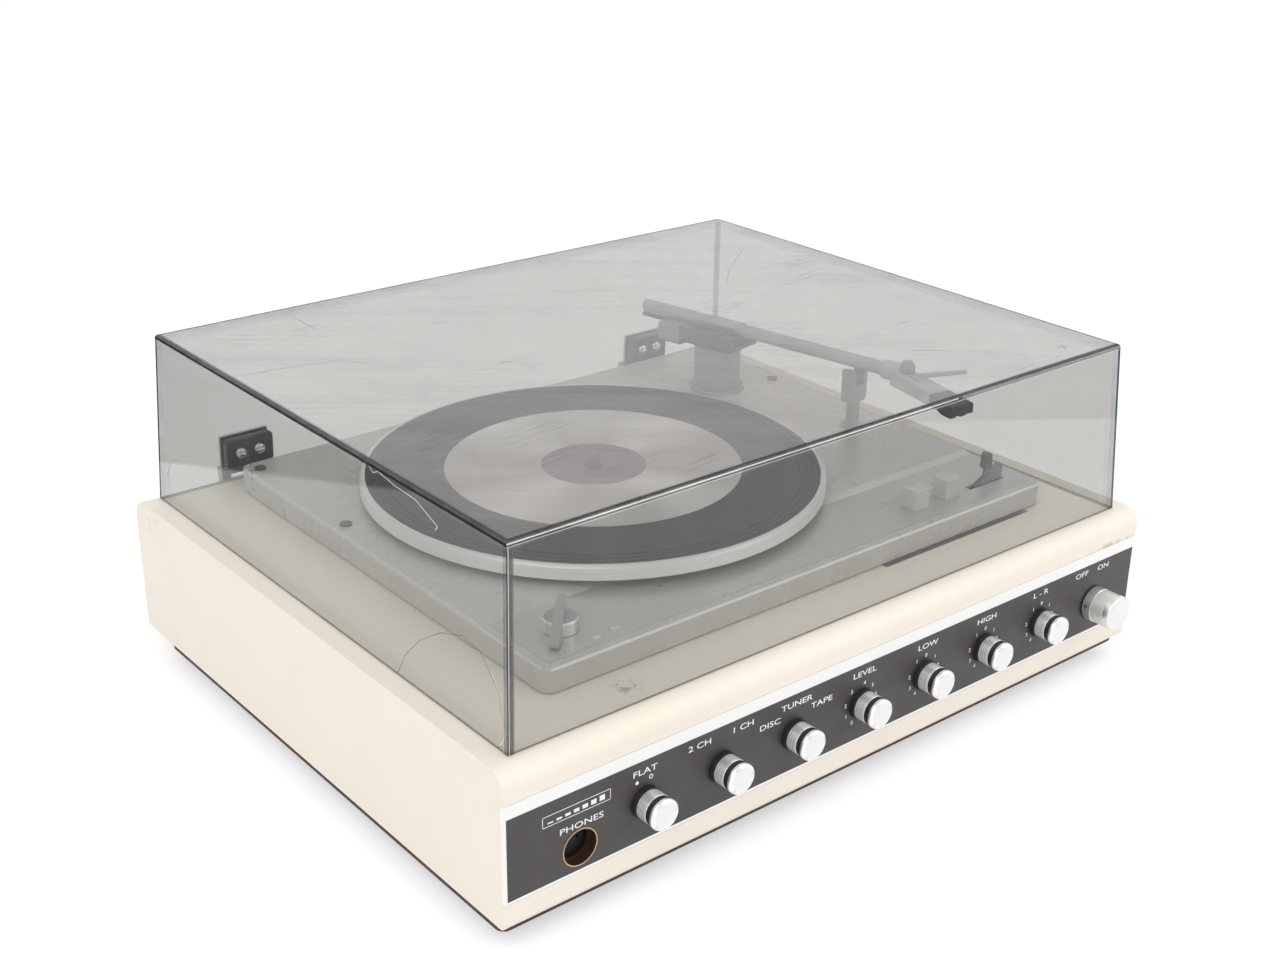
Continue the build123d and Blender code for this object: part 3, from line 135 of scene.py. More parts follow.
def spread(tree, value, fromLow, fromHigh, toLow=0.0, toHigh=1.0):
    return addNode(tree, "ShaderNodeMapRange", {
        "Value": value, "From Min": fromLow, "From Max": fromHigh, "To Min": toLow, "To Max": toHigh,
    }).outputs["Result"]


def calc(tree, operation, first, second=0.0, third=0.0):
    return addNode(tree, "ShaderNodeMath", enumerate((first, second, third)), operation=operation).outputs["Value"]


def times(tree, first, second):
    return calc(tree, "MULTIPLY", first, second)


def largest(tree, first, second):
    return calc(tree, "MAXIMUM", first, second)


def above(tree, value, limit):
    return calc(tree, "GREATER_THAN", value, limit)


def below(tree, value, limit):
    return calc(tree, "LESS_THAN", value, limit)


def within(tree, value, low, high):
    return times(tree, above(tree, value, low), below(tree, value, high))


def blendColours(tree, factor, first, second):
    return addNode(tree, "ShaderNodeMix", {"Factor": factor, 6: first, 7: second}, data_type="RGBA").outputs[2]


def mixShaders(tree, share, first, second):
    return addNode(tree, "ShaderNodeMixShader", {0: share, 1: first, 2: second})


def addBump(tree, shader, height, depth):
    bump = addNode(tree, "ShaderNodeBump", {"Strength": 1.0, "Distance": depth, "Height": height})
    feed(tree, shader.inputs["Normal"], bump)


def near(tree, centre, reach):  # 1 at a place, fading to 0 at a distance, all in row frame metres
    length = addNode(tree, "ShaderNodeVectorMath", {0: objectPlace(tree, centre=centre)}, operation="LENGTH")
    return spread(tree, length.outputs["Value"], 0.0, reach, 1.0, 0.0)


def axisPlaces(tree):  # x, y and z of a point in mm, measured as at() takes them
    place = objectPlace(tree, size=(0.001, 0.001, 0.001), centre=at(0, 0, 0))
    return addNode(tree, "ShaderNodeSeparateXYZ", {"Vector": place}).outputs


# plain finishes: colour, a second tone it drifts to, roughness, grain in lumps per metre, the grain's depth
# in metres, and how metallic it is
finishes = {
    "blackPlastic": ((0.016, 0.016, 0.017), (0.028, 0.027, 0.026), 0.42, 900, 0.00004, 0.0),
    "bracketBlack": ((0.03, 0.042, 0.044), (0.05, 0.062, 0.062), 0.3, 300, 0.00001, 0.0),
    "tipTeal": ((0.1, 0.115, 0.11), (0.14, 0.15, 0.145), 0.32, 500, 0.00001, 0.0),
    "darkGrey": ((0.085, 0.085, 0.086), (0.12, 0.118, 0.115), 0.38, 700, 0.00002, 0.0),
    "armGrey": ((0.47, 0.46, 0.45), (0.41, 0.4, 0.39), 0.42, 500, 0.00001, 0.1),
    "columnGrey": ((0.3, 0.29, 0.285), (0.34, 0.33, 0.32), 0.4, 600, 0.00002, 0.0),
    "buttonGrey": ((0.62, 0.62, 0.61), (0.55, 0.55, 0.54), 0.34, 500, 0.00001, 0.0),
    "knobGrey": ((0.36, 0.36, 0.355), (0.42, 0.42, 0.41), 0.32, 500, 0.00001, 0.0),
    "rubber": ((0.044, 0.042, 0.045), (0.056, 0.054, 0.056), 0.5, 300, 0.000001, 0.0),
    "matMiddle": ((0.26, 0.235, 0.24), (0.24, 0.217, 0.22), 0.5, 300, 0.000001, 0.0),
    "leverSteel": ((0.3, 0.31, 0.31), (0.2, 0.21, 0.21), 0.22, 400, 0.00001, 0.6),
    "footBrown": ((0.075, 0.045, 0.034), (0.05, 0.032, 0.026), 0.7, 700, 0.00004, 0.0),
    "hardboard": ((0.09, 0.075, 0.06), (0.055, 0.045, 0.036), 0.8, 1500, 0.00008, 0.0),
    "zinc": ((0.5, 0.5, 0.48), (0.38, 0.38, 0.37), 0.35, 260, 0.00002, 1.0),
    "chrome": ((0.8, 0.8, 0.8), (0.62, 0.62, 0.62), 0.12, 200, 0.000004, 1.0),
    "brass": ((0.66, 0.5, 0.26), (0.42, 0.3, 0.15), 0.3, 400, 0.00002, 1.0),
    "socketBronze": ((0.1, 0.06, 0.035), (0.05, 0.032, 0.022), 0.3, 700, 0.00002, 0.5),
    "laminate": ((0.3, 0.2, 0.09), (0.22, 0.15, 0.07), 0.55, 900, 0.00002, 0.0),
    "iron": ((0.1, 0.095, 0.09), (0.16, 0.12, 0.09), 0.6, 500, 0.00006, 0.6),
    "printWhite": ((0.95, 0.95, 0.95), (0.88, 0.88, 0.87), 0.5, 1500, 0.000002, 0.0),
}


def plainFinish(name, colour, tone, roughness, grain, depth, metallic):
    material, tree, shader = newMaterial(name, colour, roughness, metallic)
    place = objectPlace(tree)
    cloud = spread(tree, noise(tree, place, 30.0, 5.0), 0.3, 0.75, 0.0, 0.7)
    link(tree, blendColours(tree, cloud, colour, tone), shader.inputs["Base Color"])
    smear = noise(tree, place, 120.0, 5.0, 0.65)
    rough = spread(tree, smear, 0.3, 0.75, roughness * 0.8, min(roughness * 1.3, 1.0))
    link(tree, rough, shader.inputs["Roughness"])
    addBump(tree, shader, noise(tree, place, grain, 2.0), depth)
    return material


materials = {name: plainFinish(name, *values) for name, values in finishes.items()}


# turned metal: colour, roughness, rings per mm, their depth in metres, how dark the painted reflection bands along
# the axis and the lines round it are, and how metallic it is; the rings follow the piece's own UV map, whose second
# value runs along the turned profile in mm
turnedFinishes = {
    "satinTurned": ((0.97, 0.96, 0.94), 0.34, 0.7, 0.000004, 0.16, 0.14, 0.25),
    "sleeveTurned": ((0.95, 0.94, 0.93), 0.3, 0.4, 0.0000004, 0.5, 0.05, 0.45),
    "polishedTurned": ((0.84, 0.84, 0.83), 0.3, 0.3, 0.0000002, 0.0, 0.0, 0.9),
    "bevelTurned": ((0.93, 0.93, 0.92), 0.3, 0.5, 0.0000002, 0.3, 0.05, 0.9),
    "matTurned": ((0.82, 0.81, 0.78), 0.45, 1.5, 0.000001, 0.15, 0.1, 0.6),
}
# painted reflection: the waves place dark bands along the axis of turned metal
paintedReflectionWaves = [(3.0, 0.9), (7.0, 2.1)]  # waves round the axis: how many, and where they start


def turnedFinish(name, colour, roughness, rings, depth, paintedReflectionShade, lineShade, metallic):
    material, tree, shader = newMaterial(name, colour, roughness, metallic)
    uv = tree.nodes.new("ShaderNodeTexCoord").outputs["UV"]
    parts = addNode(tree, "ShaderNodeSeparateXYZ", {"Vector": uv}).outputs
    lineNode = addNode(tree, "ShaderNodeTexNoise", noise_dimensions="1D")
    for key, value in {"Scale": rings, "Detail": 1.0, "W": parts["Y"]}.items():
        feed(tree, lineNode.inputs[key], value)
    line = lineNode.outputs["Fac"]
    turn = times(tree, parts["X"], 2 * math.pi)
    # painted reflection: darker bands along the axis stand in for the dark surroundings the metal would mirror
    waves = [calc(tree, "SINE", calc(tree, "MULTIPLY_ADD", turn, count, start)) for count, start in paintedReflectionWaves]
    bands = spread(tree, calc(tree, "ADD", *waves), -0.2, 1.7, 0.0, paintedReflectionShade)
    lines = spread(tree, line, 0.5, 0.72, 0.0, lineShade)
    dark, dull = (tuple(c * share for c in colour) for share in (0.35, 0.7))
    shaded = blendColours(tree, largest(tree, bands, lines), colour, dark)
    worn = spread(tree, noise(tree, objectPlace(tree), 60.0, 4.0, 0.6), 0.55, 0.8, 0.0, 0.12)
    link(tree, blendColours(tree, worn, shaded, dull), shader.inputs["Base Color"])
    link(tree, spread(tree, line, 0.3, 0.7, roughness * 0.95, roughness * 1.3), shader.inputs["Roughness"])
    addBump(tree, shader, line, depth)
    return material


materials.update({name: turnedFinish(name, *values) for name, values in turnedFinishes.items()})


# cream foil of the case, with handling marks and painted shade under the cover; places and heights are in mm
creamFoil = {
    "colour": (0.93, 0.866, 0.762), "aged": (0.91, 0.832, 0.712), "dirt": (0.42, 0.33, 0.22), "roughness": 0.42,
    "stain": (0.5, 0.3, 0.12), "stainAt": (226, -192, -17), "stainHeights": (-13.0, -17.5, -24.0),
    "torn": (0.62, 0.52, 0.4), "tornAt": (-231, 172, -4), "scuff": (0.3, 0.27, 0.24), "scuffAt": (-140, -163, 0),
    "paintedCoverShade": (0.6, 0.6, 0.56), "coverShadeHalfX": 217.0, "coverShadeHalfY": 176.0, "coverShadeShare": 0.2,
}


def creamMaterial(values):
    material, tree, shader = newMaterial("creamFoil", values["colour"], values["roughness"])
    place = objectPlace(tree)
    cloud = spread(tree, noise(tree, place, 9.0, 4.0, 0.5), 0.42, 0.72, 0.0, 0.6)
    colour = blendColours(tree, cloud, values["colour"], values["aged"])
    x, y, z = axisPlaces(tree)
    stainTop, stainFull, stainFoot = values["stainHeights"]
    low = times(tree, spread(tree, z, stainTop, stainFull), above(tree, z, stainFoot))
    patchy = spread(tree, noise(tree, place, 160.0, 5.0), 0.4, 0.6)
    around = spread(tree, near(tree, at(*values["stainAt"]), 0.05), 0.1, 0.6)
    colour = blendColours(tree, times(tree, times(tree, around, low), patchy), colour, values["stain"])
    flakes = spread(tree, noise(tree, place, 200.0, 5.0, 0.7), 0.56, 0.62, 0.0, 0.5)
    torn = times(tree, near(tree, at(*values["tornAt"]), 0.02), flakes)
    colour = blendColours(tree, torn, colour, values["torn"])
    rubbed = spread(tree, noise(tree, place, 260.0, 4.0, 0.6), 0.5, 0.58)
    scuff = times(tree, near(tree, at(*values["scuffAt"]), 0.011), rubbed)
    colour = blendColours(tree, scuff, colour, values["scuff"])
    # painted shade: inside the cover's outline the board is blended toward grey, for the shade of the smoked cover
    halfX, halfY = values["coverShadeHalfX"], values["coverShadeHalfY"]
    under = times(tree, within(tree, x, -halfX, halfX), within(tree, y, -halfY, halfY))
    colour = blendColours(tree, times(tree, under, values["coverShadeShare"]), colour, values["paintedCoverShade"])
    specks = spread(tree, noise(tree, place, 420.0, 4.0, 0.7), 0.715, 0.765, 0.0, 0.35)
    colour = blendColours(tree, specks, colour, values["dirt"])
    link(tree, colour, shader.inputs["Base Color"])
    link(tree, spread(tree, noise(tree, place, 30.0, 4.0), 0.3, 0.7, 0.36, 0.52), shader.inputs["Roughness"])
    addBump(tree, shader, noise(tree, place, 650.0, 3.0, 0.6), 0.00002)
    return material


materials["creamFoil"] = creamMaterial(creamFoil)


# silver trim strip and dark panel face
trimStrip = {"colour": (0.93, 0.93, 0.92), "scuff": (0.8, 0.79, 0.76), "roughness": 0.34}
panelFace = {"colour": (0.058, 0.05, 0.05), "dust": (0.1, 0.092, 0.09), "roughness": 0.48}


def trimMaterial(values):
    material, tree, shader = newMaterial("trimSilver", values["colour"], values["roughness"], 0.25)
    streaks = noise(tree, objectPlace(tree, size=(1, 0.02, 0.02)), 22.0, 4.0, 0.6)
    scuffs = spread(tree, noise(tree, objectPlace(tree), 90.0, 5.0, 0.7), 0.58, 0.7, 0.0, 0.6)
    link(tree, blendColours(tree, scuffs, values["colour"], values["scuff"]), shader.inputs["Base Color"])
    link(tree, spread(tree, streaks, 0.3, 0.7, 0.28, 0.42), shader.inputs["Roughness"])
    addBump(tree, shader, streaks, 0.00001)
    return material


def panelMaterial(values):
    material, tree, shader = newMaterial("panelGrey", values["colour"], values["roughness"])
    place = objectPlace(tree)
    dust = spread(tree, noise(tree, place, 700.0, 5.0, 0.75), 0.52, 0.75, 0.0, 0.8)
    smear = spread(tree, noise(tree, place, 25.0, 4.0), 0.4, 0.7)
    colour = blendColours(tree, times(tree, dust, smear), values["colour"], values["dust"])
    link(tree, colour, shader.inputs["Base Color"])
    link(tree, spread(tree, noise(tree, place, 60.0, 4.0), 0.3, 0.7, 0.38, 0.55), shader.inputs["Roughness"])
    addBump(tree, shader, noise(tree, place, 1500.0, 2.0), 0.00001)
    return material


materials["trimSilver"] = trimMaterial(trimStrip)
materials["panelGrey"] = panelMaterial(panelFace)


# deck paint, inlay, the silver ring in the mat and the arm's head; the deck and inlay carry painted edge highlights
# and the ring painted highlights in sectors
deckPaint = {
    "colour": (0.56, 0.54, 0.52), "tone": (0.525, 0.507, 0.49), "smear": (0.6, 0.585, 0.565),
    "edge": (0.85, 0.84, 0.81), "roughness": 0.3, "front": -148.0, "left": -176.0, "top": 14.0, "round": 1.5,
    "slope": (-92.0, -87.0), "slopeFrom": 60.0, "slopeLength": 30.0,
}
inlaySheet = {
    "colour": (0.56, 0.56, 0.54), "tone": (0.53, 0.53, 0.51), "edge": (0.86, 0.86, 0.84), "roughness": 0.3,
    "front": -142.0, "left": -170.0, "rim": 0.35,
}
silverRing = {
    "colour": (0.62, 0.605, 0.585), "bright": (0.88, 0.87, 0.85), "roughness": 0.3, "paintedFans": 4.0,
    "middle": (-23.0, 12.5),
}
headShellPaint = {
    "colour": (0.52, 0.52, 0.51), "dark": (0.05, 0.058, 0.06), "roughness": 0.35, "place": (142.5, 90.1),
    "arm": 140.0, "armAngle": 10.4, "headAngle": 18.0, "darkFrom": 40.0, "fade": 0.5,
}


def deckMaterial(values):
    material, tree, shader = newMaterial("deckPaint", values["colour"], values["roughness"], 0.1)
    place = objectPlace(tree)
    x, y, z = axisPlaces(tree)
    cloud = spread(tree, noise(tree, place, 6.0, 3.0), 0.35, 0.7)
    smear = spread(tree, noise(tree, objectPlace(tree, size=(1, 0.15, 1), turn=0.4), 14.0, 3.0), 0.5, 0.7, 0.0, 0.5)
    colour = blendColours(tree, smear, blendColours(tree, cloud, values["colour"], values["tone"]), values["smear"])
    # painted highlight: the rounded top edges at the front and, more faintly, at the left, and the slope that
    # brightens to the right, are blended toward the edge colour
    high = above(tree, z, values["top"] - values["round"] * 0.8)
    leftRimHighlight = times(tree, below(tree, x, values["left"] + values["round"] * 0.7), 0.45)
    rim = largest(tree, below(tree, y, values["front"] + values["round"] * 0.7), leftRimHighlight)
    slopeEnd = values["slopeFrom"] + values["slopeLength"]
    slope = times(tree, within(tree, y, *values["slope"]), spread(tree, x, values["slopeFrom"], slopeEnd, 0.0, 0.55))
    paintedSlopeHighlight = times(tree, slope, above(tree, z, values["top"] - 0.1))
    bright = times(tree, largest(tree, times(tree, high, rim), paintedSlopeHighlight), 0.75)
    link(tree, blendColours(tree, bright, colour, values["edge"]), shader.inputs["Base Color"])
    link(tree, spread(tree, noise(tree, place, 40.0, 4.0), 0.3, 0.7, 0.24, 0.36), shader.inputs["Roughness"])
    addBump(tree, shader, noise(tree, place, 900.0, 2.0), 0.00001)
    return material


def inlayMaterial(values):
    material, tree, shader = newMaterial("inlaySheet", values["colour"], values["roughness"], 0.4)
    x, y, z = axisPlaces(tree)
    streaks = noise(tree, objectPlace(tree, size=(1, 0.015, 1)), 30.0, 4.0, 0.6)
    colour = blendColours(tree, spread(tree, streaks, 0.35, 0.65), values["colour"], values["tone"])
    # painted highlight: the inlay's front and left rims are blended toward its edge colour
    rim = values["rim"]
    rim = largest(tree, below(tree, y, values["front"] + rim), below(tree, x, values["left"] + rim))
    link(tree, blendColours(tree, times(tree, rim, 0.5), colour, values["edge"]), shader.inputs["Base Color"])
    rough = spread(tree, noise(tree, objectPlace(tree), 60.0, 4.0), 0.3, 0.7, 0.26, 0.36)
    link(tree, rough, shader.inputs["Roughness"])
    addBump(tree, shader, streaks, 0.00001)
    return material


def ringMaterial(values):
    material, tree, shader = newMaterial("silverRing", values["colour"], values["roughness"], 1.0, Anisotropic=0.85)
    feed(tree, shader.inputs["Tangent"], addNode(tree, "ShaderNodeTangent", direction_type="RADIAL", axis="Z"))
    x, y, z = axisPlaces(tree)
    middleX, middleY = values["middle"]
    # painted highlight: light sectors round the ring's middle stand in for the light its turned grooves catch
    turn = calc(tree, "ARCTAN2", calc(tree, "SUBTRACT", y, middleY), calc(tree, "SUBTRACT", x, middleX))
    paintedFans = spread(tree, calc(tree, "SINE", calc(tree, "MULTIPLY_ADD", turn, values["paintedFans"], 0.6)), -0.3, 1.0)
    worn = spread(tree, noise(tree, objectPlace(tree), 25.0, 5.0), 0.35, 0.7, 0.0, 0.35)
    colour = blendColours(tree, paintedFans, values["colour"], values["bright"])
    link(tree, blendColours(tree, worn, colour, values["colour"]), shader.inputs["Base Color"])
    return material


def headMaterial(values):  # grey at the collar, dark at the front end of the head
    material, tree, shader = newMaterial("headShellPaint", values["colour"], values["roughness"])
    arm, head = math.radians(values["armAngle"]), math.radians(values["armAngle"] - values["headAngle"])
    placeX, placeY = values["place"]
    startX, startY = placeX + values["arm"] * math.sin(arm), placeY - values["arm"] * math.cos(arm)
    x, y, z = axisPlaces(tree)
    alongX = times(tree, calc(tree, "SUBTRACT", x, startX), math.sin(head))
    alongY = times(tree, calc(tree, "SUBTRACT", y, startY), -math.cos(head))
    along = calc(tree, "ADD", alongX, alongY)
    cloud = spread(tree, noise(tree, objectPlace(tree), 60.0, 4.0), 0.3, 0.7, 0.9, 1.05)
    channels = [times(tree, cloud, value) for value in values["colour"]]
    grey = addNode(tree, "ShaderNodeCombineColor", enumerate(channels))
    dark = spread(tree, along, values["darkFrom"] - values["fade"], values["darkFrom"] + values["fade"])
    link(tree, blendColours(tree, dark, grey.outputs[0], values["dark"]), shader.inputs["Base Color"])
    link(tree, spread(tree, cloud, 0.9, 1.05, 0.28, 0.42), shader.inputs["Roughness"])
    return material


materials["headShellPaint"] = headMaterial(headShellPaint)
materials["deckPaint"] = deckMaterial(deckPaint)
materials["inlaySheet"] = inlayMaterial(inlaySheet)
materials["silverRing"] = ringMaterial(silverRing)


# smoked clear cover: see-through with a mirror share that grows at low angles, plus haze and scratches
smokedCover = {
    "tint": (0.854, 0.856, 0.848),
    "topTint": (0.857, 0.848, 0.84),
    "lit": (0.89, 0.89, 0.885),
    "haze": 0.014,
    "topHaze": 0.045,
    "hazeColour": (0.88, 0.84, 0.82),
    "smearTurn": -0.69,
    "scratchStrength": 0.14,
    "streakStrength": 0.03,
    "scratchColour": (0.26, 0.24, 0.235),
    "roughness": 0.03,
    "topFrom": 99.0,
    "fineTurn": 0.12,
    "mirror": 0.04,
    "coreShade": (0.74, 0.82),
}


def scratchLines(tree, size, turn, scale, width):
    field = noise(tree, objectPlace(tree, size=size, turn=turn), scale, 2.0, 0.5, 0.4)
    away = calc(tree, "ABSOLUTE", calc(tree, "SUBTRACT", field, 0.5))
    line = spread(tree, away, 0.0, width, 1.0, 0.0)
    patches = spread(tree, noise(tree, objectPlace(tree, turn=turn), scale * 1.7, 2.0), 0.58, 0.66)
    return times(tree, line, patches)


def coverMaterial(values):
    material, tree, surface = clearMaterial("smokedAcrylic")
    onTop = above(tree, axisPlaces(tree)["Z"], values["topFrom"])
    tint = blendColours(tree, onTop, values["tint"], values["topTint"])
    clear = addNode(tree, "ShaderNodeBsdfTransparent", {"Color": tint})
    gloss = addNode(tree, "ShaderNodeBsdfGlossy", {"Roughness": values["roughness"]})
    facing = addNode(tree, "ShaderNodeLayerWeight", {"Blend": 0.5}).outputs["Facing"]
    share = calc(tree, "MULTIPLY_ADD", calc(tree, "POWER", facing, 5.0), 1 - values["mirror"], values["mirror"])
    body = mixShaders(tree, share, clear, gloss)

    turn = values["smearTurn"]
    fine = scratchLines(tree, (1, 0.03, 1), values["fineTurn"], 7.0, 0.03)
    crossed = scratchLines(tree, (1, 0.02, 1), turn, 8.0, 0.02)
    streaks = noise(tree, objectPlace(tree, size=(1, 0.12, 1), centre=(0.3, 0.2, 0), turn=turn), 8.0, 5.0, 0.65)
    streaks = spread(tree, streaks, 0.47, 0.68, 0.0, values["streakStrength"])
    scratches = times(tree, largest(tree, fine, crossed), values["scratchStrength"])
    scratches = times(tree, largest(tree, scratches, streaks), onTop)
    smear = noise(tree, objectPlace(tree, size=(1, 0.08, 1), turn=turn), 9.0, 6.0, 0.7)
    film = calc(tree, "MULTIPLY_ADD", onTop, values["topHaze"], values["haze"])
    dust = times(tree, spread(tree, smear, 0.32, 0.68, 0.2, 1.8), film)
    colour = blendColours(tree, spread(tree, scratches, 0.0, 0.04), values["hazeColour"], values["scratchColour"])
    haze = addNode(tree, "ShaderNodeBsdfDiffuse", {"Color": colour})
    whole = mixShaders(tree, calc(tree, "ADD", scratches, dust), body, haze)

    # light that goes through to the deck is dimmed less than what is seen
    rays = tree.nodes.new("ShaderNodeLightPath").outputs
    passing = addNode(tree, "ShaderNodeBsdfTransparent", {"Color": values["lit"]})
    lighting = largest(tree, rays["Is Shadow Ray"], rays["Is Diffuse Ray"])
    feed(tree, surface, mixShaders(tree, lighting, whole, passing))
    return material


def coreMaterial(values):  # the thickness of the sheet where two walls meet
    material, tree, surface = clearMaterial("smokedCore")
    shade = spread(tree, noise(tree, objectPlace(tree), 30.0, 3.0), 0.3, 0.7, *values["coreShade"])
    tinted = addNode(tree, "ShaderNodeCombineColor", {"Red": shade, "Green": shade, "Blue": shade})
    feed(tree, surface, addNode(tree, "ShaderNodeBsdfTransparent", {"Color": tinted}))
    return material


materials["smokedCore"] = coreMaterial(smokedCover)
materials["smokedAcrylic"] = coverMaterial(smokedCover)


# what the sheet's thickness shows along the cover's edges, and marks in its surface: colour, how much of it is seen,
# roughness; the white and bright lines are painted highlights, the black and faint lines painted dark refraction, and
# the green and teal lines the sheet's own tint through its thickness together with painted dark refraction
edgeLines = {
    "edgeBlack": ((0.008, 0.008, 0.008), 0.99, 0.3),
    "edgeWhite": ((0.92, 0.93, 0.93), 0.6, 0.2),
    "edgeBright": ((0.9, 0.91, 0.91), 0.35, 0.2),
    "edgeGreen": ((0.13, 0.16, 0.15), 0.42, 0.15),
    "edgeTeal": ((0.02, 0.11, 0.12), 0.85, 0.15),
    "edgeFaint": ((0.2, 0.21, 0.21), 0.7, 0.2),
    "markDark": ((0.16, 0.15, 0.15), 0.5, 0.5),
    "markBright": ((0.88, 0.88, 0.88), 0.75, 0.4),
}


def edgeMaterial(name, colour, seen, roughness):
    material, tree, shader = newMaterial(name, colour, roughness, **{"Specular IOR Level": 0.15})
    patches = noise(tree, objectPlace(tree), 35.0, 3.0)
    link(tree, spread(tree, patches, 0.35, 0.65, seen * 0.92, min(seen * 1.08, 1.0)), shader.inputs["Alpha"])
    lighter = tuple(c * 1.4 for c in colour)
    link(tree, blendColours(tree, patches, colour, lighter), shader.inputs["Base Color"])
    return material


materials.update({name: edgeMaterial(name, *values) for name, values in edgeLines.items()})
print("stage: materials made,", len(materials))


# piece building blocks

def addObject(name, data):
    holder = bpy.data.objects.new(name, data)
    bpy.context.scene.collection.objects.link(holder)
    return holder


def takeMesh(holder):  # the mesh that text or modifiers make, without its holder
    bpy.context.view_layer.update()
    mesh = bpy.data.meshes.new_from_object(holder.evaluated_get(bpy.context.evaluated_depsgraph_get()))
    holder.modifiers.clear()
    bpy.data.objects.remove(holder)
    return mesh


def meshFrom(work, name, outward=True):
    if outward:
        bmesh.ops.recalc_face_normals(work, faces=work.faces)
    mesh = bpy.data.meshes.new(name)
    work.to_mesh(mesh)
    work.free()
    return mesh
def placePiece(name, mesh, body, surfaces, replaced=(), sharpAngle=32):
    mesh.name = name
    faceSurfaces = [face.material_index for face in mesh.polygons]
    mesh.materials.clear()
    for surface in surfaces:
        mesh.materials.append(materials[surface])
    mesh.polygons.foreach_set("material_index", faceSurfaces)
    if sharpAngle:
        mesh.polygons.foreach_set("use_smooth", [True] * len(mesh.polygons))
        mesh.set_sharp_from_angle(angle=math.radians(sharpAngle))
    piece = addObject(name, mesh)
    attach(piece, body)
    if replaced:
        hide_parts(*replaced)


def smoothNode(node, surface):  # the CAD shape with shared corners, its round faces smooth and its flat faces flat
    mesh = nodes[node].data.copy()
    work = bmesh.new()
    work.from_mesh(mesh)
    bmesh.ops.remove_doubles(work, verts=work.verts, dist=0.000002)
    work.to_mesh(mesh)
    work.free()
    if "custom_normal" in mesh.attributes:
        mesh.attributes.remove(mesh.attributes["custom_normal"])
    mesh.polygons.foreach_set("material_index", [0] * len(mesh.polygons))
    mesh.polygons.foreach_set("use_smooth", [True] * len(mesh.polygons))
    mesh.set_sharp_from_angle(angle=math.radians(32))
    holder = addObject(node + "Holder", mesh)
    holder.modifiers.new("weighted", "WEIGHTED_NORMAL").keep_sharp = True
    placePiece(node + "Piece", takeMesh(holder), nodes[node]["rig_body"], [surface], [node], 0)


# a profile turned round an axis; its points are (along, radius, surface), in mm from the origin
def turnMesh(profile, origin, axis, segments=96, closed=False):
    axis = Vector(axis).normalized()
    side = axis.orthogonal().normalized()
    other = axis.cross(side)
    work = bmesh.new()
    uvLayer = work.loops.layers.uv.new("turned")
    rings = []
    for along, radius, *rest in profile:
        centre = origin + axis * mm(along)
        if radius <= 0:
            rings.append([work.verts.new(centre)])
            continue
        ring = []
        for i in range(segments):
            turn = 2 * math.pi * i / segments
            ring.append(work.verts.new(centre + (side * math.cos(turn) + other * math.sin(turn)) * mm(radius)))
        rings.append(ring)
    travelled = [0.0]
    count = len(profile)
    for i in range(1, count + 1):
        a, b = profile[i - 1], profile[i % count]
        travelled.append(travelled[-1] + math.hypot(b[0] - a[0], b[1] - a[1]))
    for k in range(count if closed else count - 1):
        low, high = rings[k], rings[(k + 1) % count]
        surface = profile[k][2] if len(profile[k]) > 2 else 0
        for i in range(segments):
            j = (i + 1) % segments
            corners = [low[i % len(low)], low[j % len(low)], high[j % len(high)], high[i % len(high)]]
            spots = [(i, k), (i + 1, k), (i + 1, k + 1), (i, k + 1)]
            kept = []
            for corner, spot in zip(corners, spots):
                if corner not in [c for c, s in kept]:
                    kept.append((corner, spot))
            if len(kept) < 3:
                continue
            face = work.faces.new([c for c, s in kept])
            face.material_index = surface
            for loop, (c, spot) in zip(face.loops, kept):
                loop[uvLayer].uv = (spot[0] / segments, travelled[spot[1]])
    return meshFrom(work, "turned")


def roundCorner(along, radius, size, surface, steps=4):  # profile points for a rounded front edge
    turns = [math.pi / 2 * i / steps for i in range(steps + 1)]
    return [(along - size + size * math.sin(t), radius - size + size * math.cos(t), surface) for t in turns]


# what keeps its CAD shape, by finish
caseSurfaces = {
    "plinth_top": "creamFoil", "plinth_side_left": "creamFoil", "plinth_side_right": "creamFoil",
    "front_rail": "creamFoil", "rear_panel": "hardboard", "base_plate": "footBrown", "feet": "rubber",
    "foot_screws": "zinc", "control_trim": "trimSilver", "control_face": "panelGrey", "control_chassis": "zinc",
    "headphone_insert": "blackPlastic", "rotary_controls": "zinc", "amplifier_board": "laminate",
    "mains_transformer": "iron", "mains_inlet": "blackPlastic", "rear_sockets": "blackPlastic",
    "hinge_seats": "zinc", "deck_plate": "deckPaint", "deck_inlay": "inlaySheet", "suspension_mounts": "rubber",
    "deck_screws": "darkGrey", "control_bracket": "zinc", "platter_bearing": "brass", "drive_motor": "zinc",
    "drive_belt": "rubber", "arm_rest": "columnGrey", "motor_pulley": "brass", "start_button": "buttonGrey",
    "stop_button": "buttonGrey", "speed_knob": "knobGrey", "cue_lever": "leverSteel", "cue_tip": "tipTeal",
    "arm_yoke": "darkGrey", "arm_saddle": "darkGrey", "headshell": "headShellPaint", "cartridge": "bracketBlack",
    "finger_lift": "armGrey", "counterweight": "columnGrey", "lid_cover": "smokedAcrylic",
    "lid_brackets": "bracketBlack", "lid_hinge_leaves": "zinc", "lid_screws": "chrome",
}
for node, surface in caseSurfaces.items():
    smoothNode(node, surface)
print("stage: CAD shapes dressed,", len(caseSurfaces))


